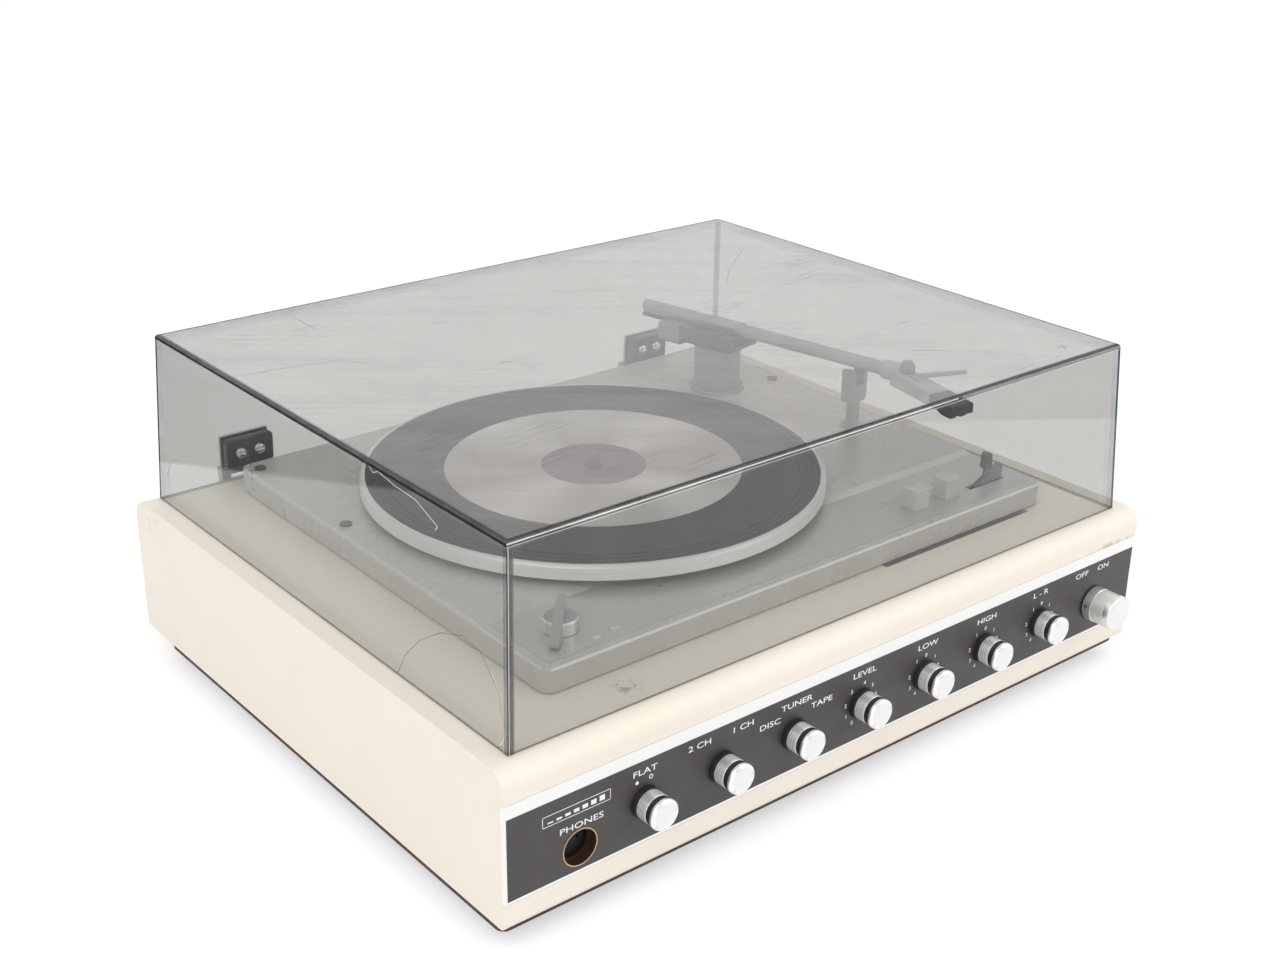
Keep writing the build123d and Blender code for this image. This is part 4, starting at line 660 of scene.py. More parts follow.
# front knobs
panelY, printY = -190.0, -190.13
frontKnob = {
    "names": ["filter", "mode", "source", "level", "low", "high", "balance"],
    "firstX": -149.0, "pitch": 49.0, "z": -47.0, "faceGap": 0.4, "skirtRadius": 8.7, "skirtLength": 3.0,
    "ringRadius": 8.1, "grooveRadius": 8.0, "capRadius": 8.4, "length": 15.1, "capLength": 2.4,
    "grooveLength": 3.0, "capRound": 1.1, "fineGrooves": 3, "fineStart": 1.3, "finePitch": 1.6, "fineDepth": 0.15,
}
powerKnob = {
    "x": 194.6, "z": -50.0, "faceGap": 0.4, "radius": 10.5, "skirtRadius": 10.3, "length": 19.6,
    "baseLength": 6.4, "capLength": 5.0, "capRound": 1.4, "groove": 0.5, "screwRadius": 1.1,
    "screwAngle": 8, "screwAlong": 3.2, "screwDepth": 0.4, "screwProud": 0.15,
}


def frontKnobProfile(k):
    grooveStart, capStart, ring = k.length - k.capLength - k.grooveLength, k.length - k.capLength, k.ringRadius
    floor = ring - k.fineDepth
    grooves = []
    for number in range(k.fineGrooves):
        start = k.skirtLength + k.fineStart + k.finePitch * number
        grooves += [(start, ring, 0), (start + 0.02, floor, 0), (start + 0.12, floor, 0), (start + 0.14, ring, 1)]
    return [
        (0, 0, 0), (0, k.skirtRadius, 0), (k.skirtLength, k.skirtRadius, 0), (k.skirtLength, ring - 0.2, 1),
        (k.skirtLength + 0.25, ring, 1), *grooves, (grooveStart - 0.25, ring, 1), (grooveStart, ring - 0.25, 0),
        (grooveStart, k.grooveRadius, 0), (capStart, k.grooveRadius, 0), (capStart, k.capRadius - 0.3, 3),
        (capStart + 0.3, k.capRadius, 3), *roundCorner(k.length, k.capRadius, k.capRound, 3),
        (k.length - 0.02, k.capRadius - 2.0, 2), (k.length - 0.12, k.capRadius - 2.3, 2), (k.length - 0.1, 0, 2),
    ]


def powerKnobProfile(k):
    floor, capStart = k.radius - k.groove, k.length - k.capLength
    return [
        (0, 0, 0), (0, k.skirtRadius, 0), (0.6, k.skirtRadius, 0), (0.6, k.radius - 0.2, 2), (0.8, k.radius, 2),
        (k.baseLength - 0.3, k.radius, 2), (k.baseLength, floor, 1), (k.baseLength + 0.3, floor, 1),
        (k.baseLength + 0.5, k.radius - 0.15, 1), (capStart - 0.5, k.radius - 0.15, 1), (capStart - 0.3, floor, 1),
        (capStart, floor, 2), (capStart + 0.3, k.radius, 2), *roundCorner(k.length, k.radius, k.capRound, 2),
        (k.length - 0.05, k.radius - 2.6, 2), (k.length - 0.4, k.radius - 3.4, 2), (k.length - 0.4, 0, 2),
    ]


knob = SimpleNamespace(**frontKnob)
for number, name in enumerate(knob.names):
    seat = at(knob.firstX + knob.pitch * number, panelY - knob.faceGap, knob.z)
    placePiece(name + "KnobTurned", turnMesh(frontKnobProfile(knob), seat, (0, -1, 0)), name + "_control",
               ["blackPlastic", "sleeveTurned", "polishedTurned", "bevelTurned"],
               [name + "_knob"], 25)
knob = SimpleNamespace(**powerKnob)
seat = at(knob.x, panelY - knob.faceGap, knob.z)
placePiece("powerKnobTurned", turnMesh(powerKnobProfile(knob), seat, (0, -1, 0)), "power_control",
           ["blackPlastic", "matTurned", "polishedTurned"], ["power_knob"], 25)
screwAxis = Matrix.Rotation(math.radians(knob.screwAngle), 3, "Y") @ Vector((-1, 0, 0))
screwSeat = seat + Vector((0, -mm(knob.screwAlong), 0)) + screwAxis * mm(knob.radius - 0.05)
rim, hole, proud, deep = knob.screwRadius, knob.screwRadius * 0.5, knob.screwProud, -knob.screwDepth
screwPoints = [(0, 0), (0, rim), (proud, rim), (proud, hole), (deep, hole), (deep, 0)]
placePiece("powerKnobScrew", turnMesh(screwPoints, screwSeat, screwAxis, 24), "power_control", ["blackPlastic"],
           ())
print("stage: front knobs turned")


# headphone socket
phonesSocket = {
    "x": -188.0, "z": -56.0, "radius": 10.15, "wall": 0.6, "rim": 0.3, "depth": 14.0,
    "ringDepth": 5.0, "ringWidth": 1.2, "ringRadius": 8.3,
}
s = SimpleNamespace(**phonesSocket)
socketSeat = at(s.x, panelY, s.z)
bore = s.radius - s.wall
spring, springEnd = bore - 0.02, s.ringDepth + s.ringWidth
shellProfile = [(-s.rim, bore), (-s.rim, s.radius), (s.depth, s.radius), (s.depth, bore, 1)]
ringProfile = [(s.ringDepth, s.ringRadius), (s.ringDepth, spring), (springEnd, spring), (springEnd, s.ringRadius)]
placePiece("phonesShell", turnMesh(shellProfile, socketSeat, (0, 1, 0), 64, True), "cabinet",
           ["brass", "socketBronze"], ["headphone_shell"])
placePiece("phonesSpring", turnMesh(ringProfile, socketSeat, (0, 1, 0), 64, True), "cabinet",
           ["socketBronze"], ())


# white print on the panel: plain words and numbers, with angles in degrees round a knob
toneDial = [("4", -149), ("3", -117), ("2", -81), ("1", -33), ("0", 4), ("1", 45), ("2", 81), ("3", 117), ("4", 149)]
levelDial = [("0", -150), ("1", -115), ("2", -80), ("3", -39), ("4", 11), ("5", 47), ("6", 82), ("7", 118), ("8", 150)]
panelPrint = {
    "wordHeight": 3.2, "wordWidth": 1.5, "numberHeight": 2.3, "numberWidth": 1.1, "numberRadius": 11.6,
    "bold": 0.03, "thickness": 0.02, "capHeight": 0.7, "dialZ": -47.0, "proud": 0.04,
    "words": [
        ("PHONES", -187.0, -43.4), ("FLAT", -149.2, -30.0), ("2 CH", -114.8, -29.4), ("1 CH", -86.6, -29.4),
        ("DISC", -67.9, -35.6), ("TUNER", -49.5, -29.8), ("TAPE", -31.5, -35.4), ("LEVEL", -0.2, -29.4),
        ("LOW", 48.7, -29.6), ("HIGH", 97.2, -29.7), ("L - R", 144.0, -28.6), ("OFF", 181.8, -28.6),
        ("ON", 201.7, -28.6),
    ],
    "dials": {-2.0: levelDial, 47.0: toneDial, 96.0: toneDial, 145.0: toneDial},
    "dots": [(-154.1, -34.8, 0, 1.0), (-145.5, -34.3, 0.75, 1.25)],  # x, z, inner and outer radius
}
stepMark = {
    "left": -209.6, "right": -170.0, "low": -37.0, "high": -31.0, "line": 0.35, "bars": 7,
    "firstBar": 3.0, "barPitch": 5.0, "barWidth": 3.2, "barFoot": 1.5, "barTop": 2.2, "barGrowth": 0.36,
}


def wordMesh(text, height, widthFactor, place, turn=Matrix.Identity(4)):
    curve = bpy.data.curves.new(text, "FONT")
    curve.body = text
    curve.size = mm(height) / panelPrint["capHeight"]
    curve.align_x = "CENTER"
    curve.align_y = "CENTER"
    curve.extrude = mm(panelPrint["thickness"])
    curve.offset = mm(panelPrint["bold"])
    curve.resolution_u = 3
    mesh = takeMesh(addObject(text, curve))
    mesh.transform(Matrix.Translation(place) @ turn @ Matrix.Diagonal((widthFactor, 1, 1, 1)))
    return mesh


def joinMeshes(name, meshes):
    work = bmesh.new()
    for mesh in meshes:
        work.from_mesh(mesh)
        bpy.data.meshes.remove(mesh)
    return meshFrom(work, name, outward=False)


def barMesh(x0, x1, z0, z1):
    work = bmesh.new()
    bmesh.ops.create_cube(work, size=1)
    low, high = at(x0, printY - panelPrint["proud"], z0), at(x1, printY, z1)
    for vert in work.verts:
        vert.co = Vector([low[i] + (vert.co[i] + 0.5) * (high[i] - low[i]) for i in range(3)])
    return meshFrom(work, "bar", outward=False)


p, m = SimpleNamespace(**panelPrint), SimpleNamespace(**stepMark)
frontTurn = Matrix.Rotation(math.radians(90), 4, "X")
printed = [wordMesh(text, p.wordHeight, p.wordWidth, at(x, printY, z), frontTurn) for text, x, z in p.words]
for dialX, marks in p.dials.items():
    for text, angle in marks:
        turn = math.radians(angle)
        place = at(dialX + p.numberRadius * math.sin(turn), printY, p.dialZ + p.numberRadius * math.cos(turn))
        printed.append(wordMesh(text, p.numberHeight, p.numberWidth, place, frontTurn))
for x, z, inner, outer in p.dots:
    dotPoints = [(0, inner), (0, outer), (p.proud, outer), (p.proud, inner)]
    printed.append(turnMesh(dotPoints, at(x, printY, z), (0, -1, 0), 24, inner > 0))
printed += [
    barMesh(m.left, m.right, m.low, m.low + m.line), barMesh(m.left, m.right, m.high - m.line, m.high),
    barMesh(m.left, m.left + m.line, m.low, m.high), barMesh(m.right - m.line, m.right, m.low, m.high),
]
for i in range(m.bars):  # a plain stepped level mark
    x = m.left + m.firstBar + m.barPitch * i
    printed.append(barMesh(x, x + m.barWidth, m.low + m.barFoot, m.low + m.barTop + m.barGrowth * i))
placePiece("panelPrint", joinMeshes("panelPrint", printed), "cabinet", ["printWhite"], (), 0)
print("stage: panel printed")


# platter, mat, ring and spindle, turned round one axis
platterParts = {
    "x": -23.0, "y": 12.5, "low": 19.0, "high": 27.5, "radius": 136.0, "wall": 2.9, "chamfer": 1.4,
    "seatRadius": 132.8, "webTop": 25.5, "webLow": 23.5, "hubRadius": 15.0, "beltRing": (75.0, 78.0, 18.0),
    "boreRadius": 5.05, "hubLow": 22.0, "matBore": 5.3, "matRadius": 132.5, "matTop": 27.5, "ribHeight": 0.4,
    "ribWidth": 2.0, "ribPitch": 4.0, "ribCount": 3, "ringOuter": 87.2, "ringInner": 30.8, "ringDepth": 0.7,
    "ringThickness": 0.8, "shaftFoot": -30.0, "shaft": 5.0, "flange": (20.0, 22.0, 14.0),
    "pin": [(27.5, 3.6), (34.1, 3.6), (35.0, 3.3), (35.9, 2.5), (36.4, 1.4), (36.5, 0)],
}


def platterProfile(p):
    inner = p.radius - p.wall
    ringIn, ringOut, ringFoot = p.beltRing
    return [
        (p.hubLow, p.boreRadius), (p.hubLow, p.hubRadius), (p.webLow, p.hubRadius), (p.webLow, ringIn),
        (ringFoot, ringIn), (ringFoot, ringOut), (p.webLow, ringOut), (p.webLow, inner), (p.low, inner),
        (p.low, p.radius - 0.5), (p.low + 0.5, p.radius), (p.high - p.chamfer, p.radius, 1),
        (p.high - 0.15, p.radius - p.chamfer + 0.15, 1), (p.high, p.radius - p.chamfer - 0.1, 1),
        (p.high, p.seatRadius), (p.webTop, p.seatRadius), (p.webTop, p.boreRadius),
    ]


def matProfile(p):
    top, outer, inner = p.matTop, p.ringOuter + 0.1, p.ringInner - 0.1
    points = [(p.webTop, p.matBore), (p.webTop, p.matRadius), (top, p.matRadius)]
    for i in range(p.ribCount):
        edge, high = p.matRadius - p.ribWidth - p.ribPitch * i, top + p.ribHeight
        points += [(top, edge), (high, edge - 0.15), (high, edge - p.ribWidth + 0.15), (top, edge - p.ribWidth)]
    return points + [
        (top, outer), (top - p.ringDepth, outer), (top - p.ringDepth, inner), (top, inner, 1), (top, 10.0, 1),
        (top - 0.2, 9.6, 1), (top - 0.2, 8.0, 1), (top - 1.0, p.matBore),
    ]


def ringProfile(p):
    low = p.matTop - p.ringDepth
    high = low + p.ringThickness
    return [
        (low, p.ringInner), (low, p.ringOuter), (high - 0.1, p.ringOuter), (high, p.ringOuter - 0.2),
        (high, p.ringInner + 0.2), (high - 0.1, p.ringInner),
    ]


def spindleProfile(p):
    foot, shaft = p.shaftFoot, p.shaft
    low, high, flange = p.flange
    return [(foot, 0), (foot, shaft), (low, shaft), (low, flange), (high, flange), (high, shaft),
            (p.pin[0][0], shaft), *p.pin]


p = SimpleNamespace(**platterParts)
platterSeat = at(p.x, p.y, 0)
turnedParts = {  # piece: profile, segments, closed, surfaces, replaced node, slot, sharp angle
    "platterTurned": (platterProfile, 192, True, ["satinTurned", "polishedTurned"], "platter", "platter_metal", 25),
    "matMoulded": (matProfile, 192, True, ["rubber", "matMiddle"], "platter_mat", "mat_rubber", 25),
    "ringTurned": (ringProfile, 192, True, ["silverRing"], "mat_ring", "ring_silver", 25),
    "spindleTurned": (spindleProfile, 64, False, ["matMiddle"], "platter_spindle", "spindle_steel", 30),
}
for name, (profile, segments, closed, surfaces, node, slot, sharp) in turnedParts.items():
    mesh = turnMesh(profile(p), platterSeat, (0, 0, 1), segments, closed)
    placePiece(name, mesh, "turntable", surfaces, [node], sharp)


# fine ribs moulded on the mat, as a Geometry Nodes tree: one ring per step, swept with a small round section
matRibs = {"firstRadius": 90.5, "step": 2.6, "count": 11, "thickness": 0.12}


def newTree(name, inputs):
    tree = bpy.data.node_groups.new(name, "GeometryNodeTree")
    tree.interface.new_socket("Geometry", in_out="OUTPUT", socket_type="NodeSocketGeometry")
    for label, value in inputs.items():
        kind = "NodeSocketInt" if isinstance(value, int) else "NodeSocketFloat"
        tree.interface.new_socket(label, in_out="INPUT", socket_type=kind).default_value = value
    return tree, tree.nodes.new("NodeGroupInput").outputs, tree.nodes.new("NodeGroupOutput")


def endTree(tree, shape, surface, result):
    finish = addNode(tree, "GeometryNodeSetMaterial", {"Geometry": shape, "Material": surface})
    feed(tree, result.inputs[0], finish)
    return tree


def growPiece(name, tree, values, body, surface):
    holder = addObject(name + "Grower", bpy.data.meshes.new(name + "Start"))
    modifier = holder.modifiers.new(name, "NODES")
    modifier.node_group = tree
    for item in tree.interface.items_tree:
        if item.in_out == "INPUT":
            modifier[item.identifier] = values[item.name]
    placePiece(name, takeMesh(holder), body, [surface], (), 40)


def ribTree(centre, surface):
    inputs = {"First Radius": 0.09, "Step": 0.002, "Count": 8, "Thickness": 0.0003}
    tree, given, result = newTree("concentricRibs", inputs)
    points = addNode(tree, "GeometryNodePoints", {"Position": centre, "Count": given["Count"]})
    circle = addNode(tree, "GeometryNodeCurvePrimitiveCircle", {"Resolution": 144, "Radius": 1.0})
    index = tree.nodes.new("GeometryNodeInputIndex")
    reach = calc(tree, "MULTIPLY_ADD", index, given["Step"], given["First Radius"])
    rings = addNode(tree, "GeometryNodeInstanceOnPoints", {"Points": points, "Instance": circle, "Scale": reach})
    real = addNode(tree, "GeometryNodeRealizeInstances", {0: rings})
    section = addNode(tree, "GeometryNodeCurvePrimitiveCircle", {"Resolution": 6, "Radius": given["Thickness"]})
    sweep = addNode(tree, "GeometryNodeCurveToMesh", {"Curve": real, "Profile Curve": section})
    return endTree(tree, sweep, surface, result)


growPiece("matRibs", ribTree(at(p.x, p.y, p.matTop), materials["rubber"]), {
    "First Radius": mm(matRibs["firstRadius"]), "Step": mm(matRibs["step"]), "Count": matRibs["count"],
    "Thickness": mm(matRibs["thickness"]),
}, "turntable", "rubber")
print("stage: platter and mat made")


# tone arm's round pieces
toneArm = {
    "x": 142.5, "y": 90.1, "z": 60.0, "angle": 10.4, "tubeRadius": 4.3, "tubeGroove": 4.1, "rear": -64.0,
    "front": 141.0, "columnBore": 5.05, "columnRadius": 15.5, "columnTop": 47.2, "columnLow": 15.5,
    "footRadius": 18.5, "footTop": 18.0, "columnChamfer": 0.8,
}
arm = SimpleNamespace(**toneArm)
armTurn = math.radians(arm.angle)
armDirection = Vector((math.sin(armTurn), -math.cos(armTurn), 0))
armPivot = at(arm.x, arm.y, arm.z)
rear, tube, groove, chamfer = arm.rear, arm.tubeRadius, arm.tubeGroove, arm.columnChamfer
tubePoints = [
    (rear, 0), (rear, 2.6), (rear + 0.5, 3.6), (rear + 1.5, tube), (rear + 3, tube), (rear + 3.1, groove),
    (rear + 3.5, groove), (rear + 3.6, tube), (arm.front, tube), (arm.front, 0),
]
columnPoints = [
    (arm.columnLow, arm.columnBore), (arm.columnLow, arm.footRadius), (arm.footTop - chamfer, arm.footRadius),
    (arm.footTop, arm.footRadius - chamfer), (arm.footTop, arm.columnRadius),
    (arm.columnTop - chamfer, arm.columnRadius), (arm.columnTop, arm.columnRadius - chamfer),
    (arm.columnTop, arm.columnBore),
]
placePiece("armTube", turnMesh(tubePoints, armPivot, armDirection, 64), "tonearm",
           ["armGrey"], ["arm_tube"])
placePiece("armColumn", turnMesh(columnPoints, at(arm.x, arm.y, 0), (0, 0, 1), 96, True), "cabinet",
           ["columnGrey"], ["arm_column"])


# thumb nut on the head, with flutes round it from Geometry Nodes
thumbNut = {
    "along": 8.5, "across": 1.0, "radius": 4.3, "foot": 1.4, "low": 2.2, "high": 9.8, "headAngle": 18.0,
    "headBack": 1.0, "fluteCount": 24, "fluteRadius": 0.32, "fluteMiddle": 5.0, "fluteHeight": 4.2,
}
n = SimpleNamespace(**thumbNut)
headStart = armPivot + armDirection * mm(arm.front - n.headBack)
headTurn = armTurn - math.radians(n.headAngle)
headDirection = Vector((math.sin(headTurn), -math.cos(headTurn), 0))
headAcross = Vector((math.cos(headTurn), math.sin(headTurn), 0))
nutSeat = headStart + headDirection * mm(n.along) + headAcross * mm(n.across)
nutPoints = [
    (n.foot, 0), (n.foot, n.radius), (n.low + 5.0, n.radius), (n.low + 5.3, n.radius - 0.3),
    (n.high - 0.6, n.radius - 1.0), (n.high, n.radius - 2.5), (n.high, 0),
]
placePiece("thumbNut", turnMesh(nutPoints, nutSeat, (0, 0, 1), 48), "tonearm",
           ["columnGrey"], ["headshell_lock"])


def fluteTree(centre, surface):
    inputs = {"Radius": 0.0043, "Count": 24, "Flute Radius": 0.0003, "Height": 0.004}
    tree, given, result = newTree("flutesRound", inputs)
    around = {"Resolution": given["Count"], "Radius": given["Radius"]}
    circle = addNode(tree, "GeometryNodeCurvePrimitiveCircle", around)
    spots = addNode(tree, "GeometryNodeCurveToPoints", {"Curve": circle}, mode="EVALUATED")
    size = {"Vertices": 8, "Radius": given["Flute Radius"], "Depth": given["Height"]}
    rod = addNode(tree, "GeometryNodeMeshCylinder", size)
    copies = addNode(tree, "GeometryNodeInstanceOnPoints", {"Points": spots, "Instance": rod})
    moved = addNode(tree, "GeometryNodeTransform", {0: copies, "Translation": centre})
    return endTree(tree, addNode(tree, "GeometryNodeRealizeInstances", {0: moved}), surface, result)


growPiece("thumbNutFlutes", fluteTree(nutSeat + Vector((0, 0, mm(n.fluteMiddle))), materials["columnGrey"]), {
    "Radius": mm(n.radius), "Count": n.fluteCount, "Flute Radius": mm(n.fluteRadius), "Height": mm(n.fluteHeight),
}, "tonearm", "columnGrey")
print("stage: tone arm finished")


# bright turned side of the speed knob's base
speedDisc = {"x": -145.0, "y": -118.0, "low": 14.4, "high": 20.7, "radius": 9.3, "skin": 0.06}
d = SimpleNamespace(**speedDisc)
discPoints = [
    (d.low, d.radius - 0.4), (d.low, d.radius + d.skin), (d.high, d.radius + d.skin),
    (d.high + 0.75, d.radius - 0.7), (d.high + 0.4, d.radius - 1.0),
]
placePiece("speedDiscSide", turnMesh(discPoints, at(d.x, d.y, 0), (0, 0, 1), 64, True), "speed_control",
           ["bevelTurned"], (), 25)


# plain marks by the speed knob
deckMarks = {"height": 2.6, "width": 1.2, "z": 14.14, "marks": [("33", -123.0, -134.0), ("45", -136.0, -136.0)]}
d = SimpleNamespace(**deckMarks)
markMeshes = [wordMesh(text, d.height, d.width, at(x, y, d.z)) for text, x, y in d.marks]
placePiece("deckMarks", joinMeshes("deckMarks", markMeshes), "cabinet", ["printWhite"], (), 0)


# dust cover: lines that its thickness shows along the edges, painted as highlights and dark refraction, and marks in
# its surface
coverEdges = {
    "halfWidth": 220.0, "halfDepth": 179.0, "height": 103.2, "draft": 5.3, "seat": 0.2,
    "top": {  # side: lines as (depth below the top, inset from the face, width, height, surface)
        "front": [(2.35, -0.05, 0.06, 0.35, "edgeGreen"), (2.8, -0.05, 0.06, 0.3, "edgeBright")],
        "right": [(0.6, 0.6, 0.4, 0.4, "edgeFaint")],
        "rear": [(0.6, 0.6, 0.4, 0.4, "edgeFaint")],
    },
    "uprights": {  # corner: lines as (distance along the front or rear wall, inset from the face, width, surface)
        (-1, -1): [(0.1, 0.1, 0.5, "edgeBlack"), (0.7, 0.1, 0.4, "edgeWhite"), (1.2, 0.1, 2.6, "edgeGreen")],
        (1, -1): [(0.1, 0.1, 1.3, "edgeTeal")],
        (1, 1): [(0.4, 0.4, 0.3, "edgeGreen")],
        (-1, 1): [(0.1, 0.1, 0.6, "edgeBlack")],
    },
    "foot": [(0.45, 0.35, 0.4, 0.45, "edgeFaint")],
    "core": 2.97, "coreGap": 0.04, "roundRadius": 2.2, "proud": 0.04, "markDepth": 0.3, "markThickness": 0.1,
    "arcs": {  # side: strips round the top edge as (first angle, last angle, surface, start and end as shares)
        "left": [(-10, 76, "edgeBlack", -1, 1)],
        "front": [(34, 76, "edgeBlack", -1, 0.3), (26, 76, "edgeBlack", 0.3, 1), (12, 28, "edgeWhite", -1, 0.35)],
    },
}
coverMarks = {  # marks as (width, surface, points); the left wall's points are (y, z)
    "top": [
        (0.35, "markDark", [(-137.1, 151.6), (-137.4, 126.3)]), (0.5, "markDark", [(-77.9, 95.0), (-71.3, 92.3)]),
        (0.6, "markDark", [(-85.7, 15.6), (-80.0, 13.3)]),
        (0.25, "markDark", [(-211.2, 83.2), (-180, 78.5), (-151.0, 71.5)]),
        (0.35, "markDark", [(141.6, 136.2), (152.4, 143.7)]),
        (0.3, "markDark", [(109.8, 48.1), (136, 74), (174.0, 102.7)]),
        (0.7, "markDark", [(140.5, -70.5), (147.1, -70.8)]), (0.6, "markDark", [(116.1, -72.8), (117.5, -76.2)]),
        (0.5, "markDark", [(186.4, -153.2), (181.6, -160.5)]), (0.5, "markDark", [(180.5, -155), (187.5, -159)]),
    ],
    "left": [
        (0.35, "markDark", [(-85.9, 0.7), (-93.1, 14), (-106.3, 27.6), (-123.2, 38.5), (-141.2, 44.6),
                            (-155.7, 42.7), (-169.4, 29.7), (-176.4, 10.2)]),
        (0.3, "markBright", [(-164.5, 36.5), (-170.0, 29.2), (-176.2, 10.0)]),
        (0.4, "markBright", [(-59.5, 101.0), (-64.0, 98.0), (-68.5, 100.2), (-82.5, 98.1), (-101.4, 97.2),
                             (-119.9, 90.5), (-118.0, 88.0)]),
        (0.25, "markDark", [(168.0, 18.0), (160.0, 30.0), (150.0, 34.0)]),
        (0.25, "markDark", [(60.0, 52.0), (62.0, 66.0)]),
        (0.5, "markBright", [(-172.0, 2.0), (-175.5, 8.0)]),
        (0.4, "markBright", [(-176.0, 1.0), (-174.0, 5.5), (-177.0, 11.0)]),
        (0.4, "markDark", [(-170.5, 1.0), (-174.0, 3.0), (-176.8, 2.0)]),
    ],
}
sideSigns = {"left": (-1, 0), "front": (0, -1), "right": (1, 0), "rear": (0, 1)}
cover = SimpleNamespace(**coverEdges)
edgeBars = {}


def coverPlace(signX, signY, insetX, insetY, height):  # a point inside a corner, or on a wall where a sign is a share
    lean = cover.draft * (height - cover.seat) / (cover.height - cover.seat)
    return at(signX * (cover.halfWidth - lean - insetX), signY * (cover.halfDepth - lean - insetY), height)


def addBar(surface, first, last):  # a closed bar between two outlines with as many corners
    work = bmesh.new()
    ends = [[work.verts.new(corner) for corner in outline] for outline in (first, last)]
    for i in range(len(first)):
        j = (i + 1) % len(first)
        work.faces.new((ends[0][i], ends[0][j], ends[1][j], ends[1][i]))
    work.faces.new(ends[0])
    work.faces.new(ends[1][::-1])
    edgeBars.setdefault(surface, []).append(meshFrom(work, "bar"))


def addStrut(surface, start, end, width, height):  # a bar between two points; width lies level, height stands
    way = (end - start).normalized()
    across = way.cross(Vector((0, 0, 1)))
    across = Vector((0, 1, 0)) if across.length < 0.2 else across.normalized()
    upward = across.cross(way).normalized()
    corners = ((-1, -1), (1, -1), (1, 1), (-1, 1))
    addBar(surface, *([centre + across * a * mm(width) / 2 + upward * b * mm(height) / 2 for a, b in corners]
                      for centre in (start, end)))


def addCore(place):  # a bar with one rounded side inside a corner; place gives a point for two insets and an end
    near, far, size = cover.coreGap, cover.core, cover.roundRadius
    turns = [math.radians(90 - 18 * i) for i in range(6)]
    curve = [(size - (size - near) * math.cos(turn), size - (size - near) * math.sin(turn)) for turn in turns]
    section = [(far, far), (far, near), *curve, (near, far)]
    addBar("smokedCore", *([place(a, b, end) for a, b in section] for end in (-1, 1)))


def addArc(signX, signY, first, last, surface, reach, steps=12):  # a strip round a top edge
    work = bmesh.new()
    rows = []
    radius = cover.roundRadius
    for step in range(steps + 1):
        angle = math.radians(first + (last - first) * step / steps)
        inset = radius - (radius + cover.proud) * math.cos(angle)
        level = cover.height - radius + (radius + cover.proud) * math.sin(angle)
        rows.append([work.verts.new(coverPlace(signX or end, signY or end, inset, inset, level)) for end in reach])
    for low, high in zip(rows, rows[1:]):
        work.faces.new((low[0], low[1], high[1], high[0]))
    work.normal_update()
    if sum(face.normal.dot(Vector((signX, signY, 0.5))) for face in work.faces) < 0:
        bmesh.ops.reverse_faces(work, faces=work.faces)
    edgeBars.setdefault(surface, []).append(meshFrom(work, "arc", outward=False))


for side, (signX, signY) in sideSigns.items():
    bars = [(cover.height - depth - height / 2, inset, width, height, surface)
            for depth, inset, width, height, surface in cover.top.get(side, [])]
    bars += [(low + height / 2, inset, width, height, surface) for low, inset, width, height, surface in cover.foot]
    for level, inset, width, height, surface in bars:
        inset += width / 2
        start, end = (coverPlace(signX or end, signY or end, inset, inset, level) for end in (-1, 1))
        addStrut(surface, start, end, width, height)
uprightReach, uprightDepth = (0.5, cover.height - 2.4), 0.3
for (signX, signY), bars in cover.uprights.items():
    for along, inset, width, surface in bars:
        start, end = (coverPlace(signX, signY, along + width / 2, inset + uprightDepth / 2, height)
                      for height in uprightReach)
        addStrut(surface, start, end, uprightDepth, width)
top = cover.height
coreMiddle, coreHalf = top / 2 - 1.4, top / 2 - 1.8
for signX, signY in sideSigns.values():
    addCore(lambda a, b, end: coverPlace(signX or end, signY or end, a, a, top - b))
for signX, signY in cover.uprights:
    addCore(lambda a, b, end: coverPlace(signX, signY, a, b, coreMiddle + end * coreHalf))
for side, arcs in cover.arcs.items():
    for first, last, surface, *reach in arcs:
        addArc(*sideSigns[side], first, last, surface, reach)
for width, surface, points in coverMarks["top"]:
    places = [at(x, y, top - cover.markDepth) for x, y in points]
    for start, end in zip(places, places[1:]):
        addStrut(surface, start, end, width, cover.markThickness)
for width, surface, points in coverMarks["left"]:
    places = [coverPlace(-1, 0, cover.markDepth, 0, z) + Vector((0, mm(y), 0)) for y, z in points]
    for start, end in zip(places, places[1:]):
        addStrut(surface, start, end, cover.markThickness, width)
for surface, bars in edgeBars.items():
    placePiece("cover" + surface[0].upper() + surface[1:], joinMeshes(surface, bars), "dust_cover",
               [surface], (), 0)
print("stage: cover finished")


# floor, light and camera
studio = {
    "floorColour": (0.86, 0.86, 0.86), "floorSeen": (0.64, 0.64, 0.64), "floorGlow": 0.5, "floorHalf": 6,
    "floorZ": -0.0002, "worldLevel": 0.81, "aim": (0, 0, 0.08), "paper": (-1100.0, 845.0), "offPaper": 0.1,
    "lamps": {
        "keyLamp": {"place": (-1.7, -0.9, 1.9), "power": 16.0, "size": 2.2},
        "fillLamp": {"place": (1.3, -1.7, 1.3), "power": 10.5, "size": 1.8},
    },
}


def seenDirectly(tree):  # 1 for the rays of the camera, of mirror-like surfaces and of clear ones
    rays = tree.nodes.new("ShaderNodeLightPath").outputs
    return largest(tree, largest(tree, rays["Is Camera Ray"], rays["Is Glossy Ray"]), rays["Is Transmission Ray"])


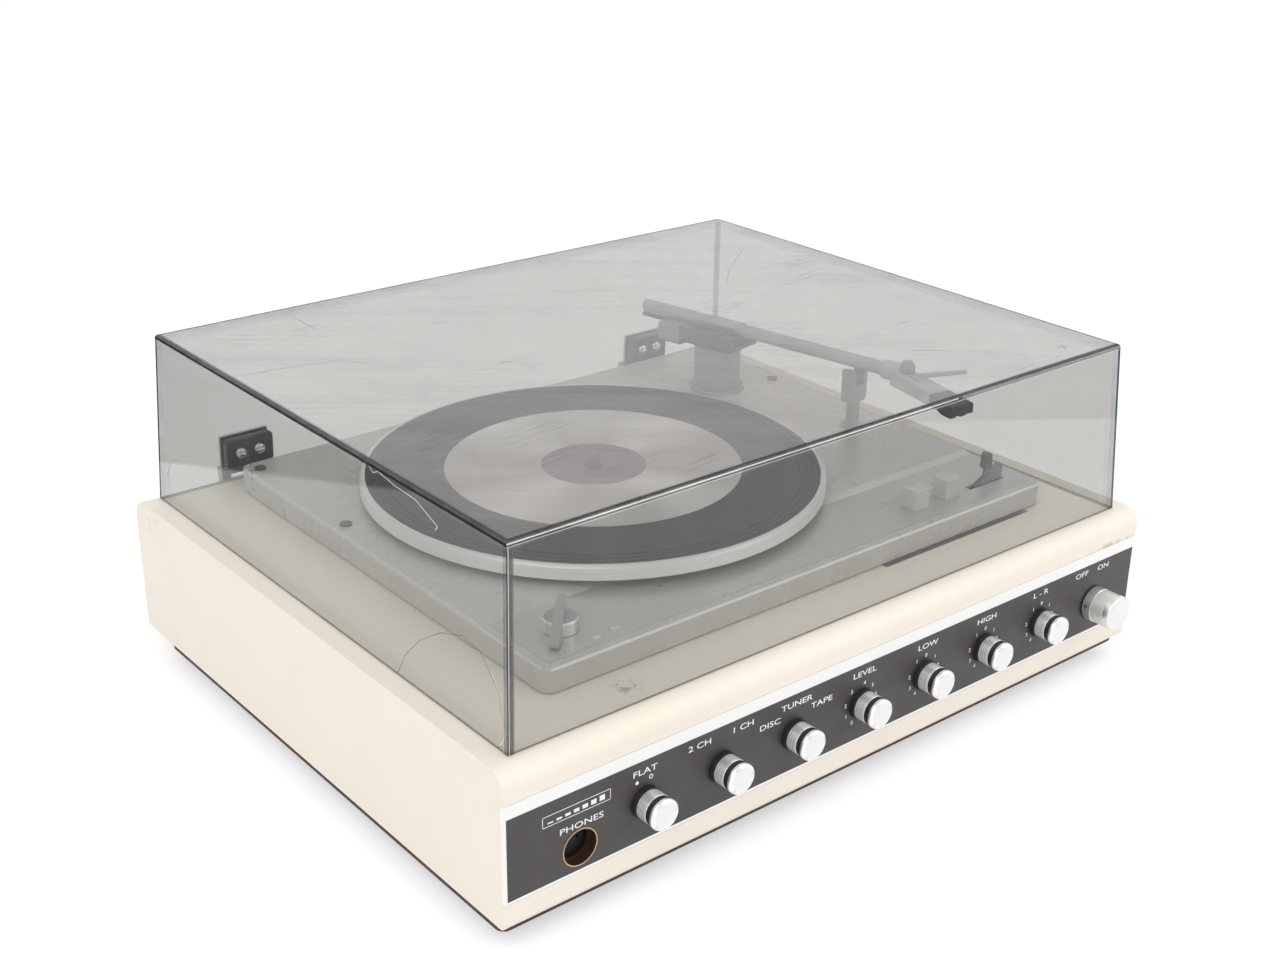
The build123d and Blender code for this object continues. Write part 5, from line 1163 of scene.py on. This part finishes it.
def buildFloor(values):
    material, tree, shader = newMaterial("floorWhite", values["floorColour"], 0.9, **{
        "Emission Color": (1, 1, 1), "Specular IOR Level": 0.0,
    })
    seen = seenDirectly(tree)
    x, y, z = axisPlaces(tree)
    # a strip of white paper; mirrored rays find it darker beside it
    onPaper = within(tree, calc(tree, "SUBTRACT", y, x), *values["paper"])
    glossy = tree.nodes.new("ShaderNodeLightPath").outputs["Is Glossy Ray"]
    level = largest(tree, largest(tree, onPaper, values["offPaper"]), calc(tree, "SUBTRACT", 1.0, glossy))
    lit = blendColours(tree, level, (0.02, 0.02, 0.02), values["floorSeen"])
    link(tree, blendColours(tree, seen, values["floorColour"], lit), shader.inputs["Base Color"])
    glow = times(tree, times(tree, seen, level), values["floorGlow"])
    link(tree, glow, shader.inputs["Emission Strength"])
    mesh = bpy.data.meshes.new("floor")
    half = values["floorHalf"]
    corners = [(x, y, values["floorZ"]) for x, y in ((-half, -half), (half, -half), (half, half), (-half, half))]
    mesh.from_pydata(corners, [], [(0, 1, 2, 3)])
    mesh.materials.append(material)
    floor = addObject("studioFloor", mesh)


def buildWorld(values):
    world = bpy.data.worlds.new("studioWorld")
    bpy.context.scene.world = world
    world.use_nodes = True
    tree = world.node_tree
    background = tree.nodes["Background"]
    feed(tree, background.inputs["Color"], (1, 1, 1))
    feed(tree, background.inputs["Strength"], spread(tree, seenDirectly(tree), 0.0, 1.0, values["worldLevel"], 1.0))


def buildLamp(name, place, power, size, aim):
    lamp = bpy.data.lights.new(name, "AREA")
    lamp.energy = power
    lamp.shape = "SQUARE"
    lamp.size = size
    holder = addObject(name, lamp)
    holder.location = place
    holder.rotation_euler = (Vector(aim) - Vector(place)).to_track_quat("-Z", "Y").to_euler()


buildFloor(studio)
buildWorld(studio)
for name, lamp in studio["lamps"].items():
    buildLamp(name, lamp["place"], lamp["power"], lamp["size"], studio["aim"])

photoView = {
    "azimuth": -39.514, "elevation": 23.476, "roll": 0.742, "place": (-591.58, -719.81, 419.88),
    "focalPixels": 1715.92, "widthPixels": 1280, "sensor": 36.0,
}


def buildCamera(values):
    a, e, r = (math.radians(values[key]) for key in ("azimuth", "elevation", "roll"))
    back = Vector((math.sin(a) * math.cos(e), -math.cos(a) * math.cos(e), math.sin(e)))
    right = Vector((math.cos(a), math.sin(a), 0))
    up = back.cross(right)
    across = right * math.cos(r) + up * math.sin(r)
    upward = up * math.cos(r) - right * math.sin(r)
    data = bpy.data.cameras.new("photoCamera")
    data.sensor_width = values["sensor"]
    data.lens = values["focalPixels"] * values["sensor"] / values["widthPixels"]
    data.clip_start = 0.01
    holder = addObject("photoCamera", data)
    turn = Matrix((across, upward, back)).transposed().to_4x4()
    holder.matrix_world = Matrix.Translation(at(*values["place"])) @ turn
    bpy.context.scene.camera = holder


buildCamera(photoView)
bpy.context.scene.view_settings.view_transform = "Standard"
print("stage: studio ready")
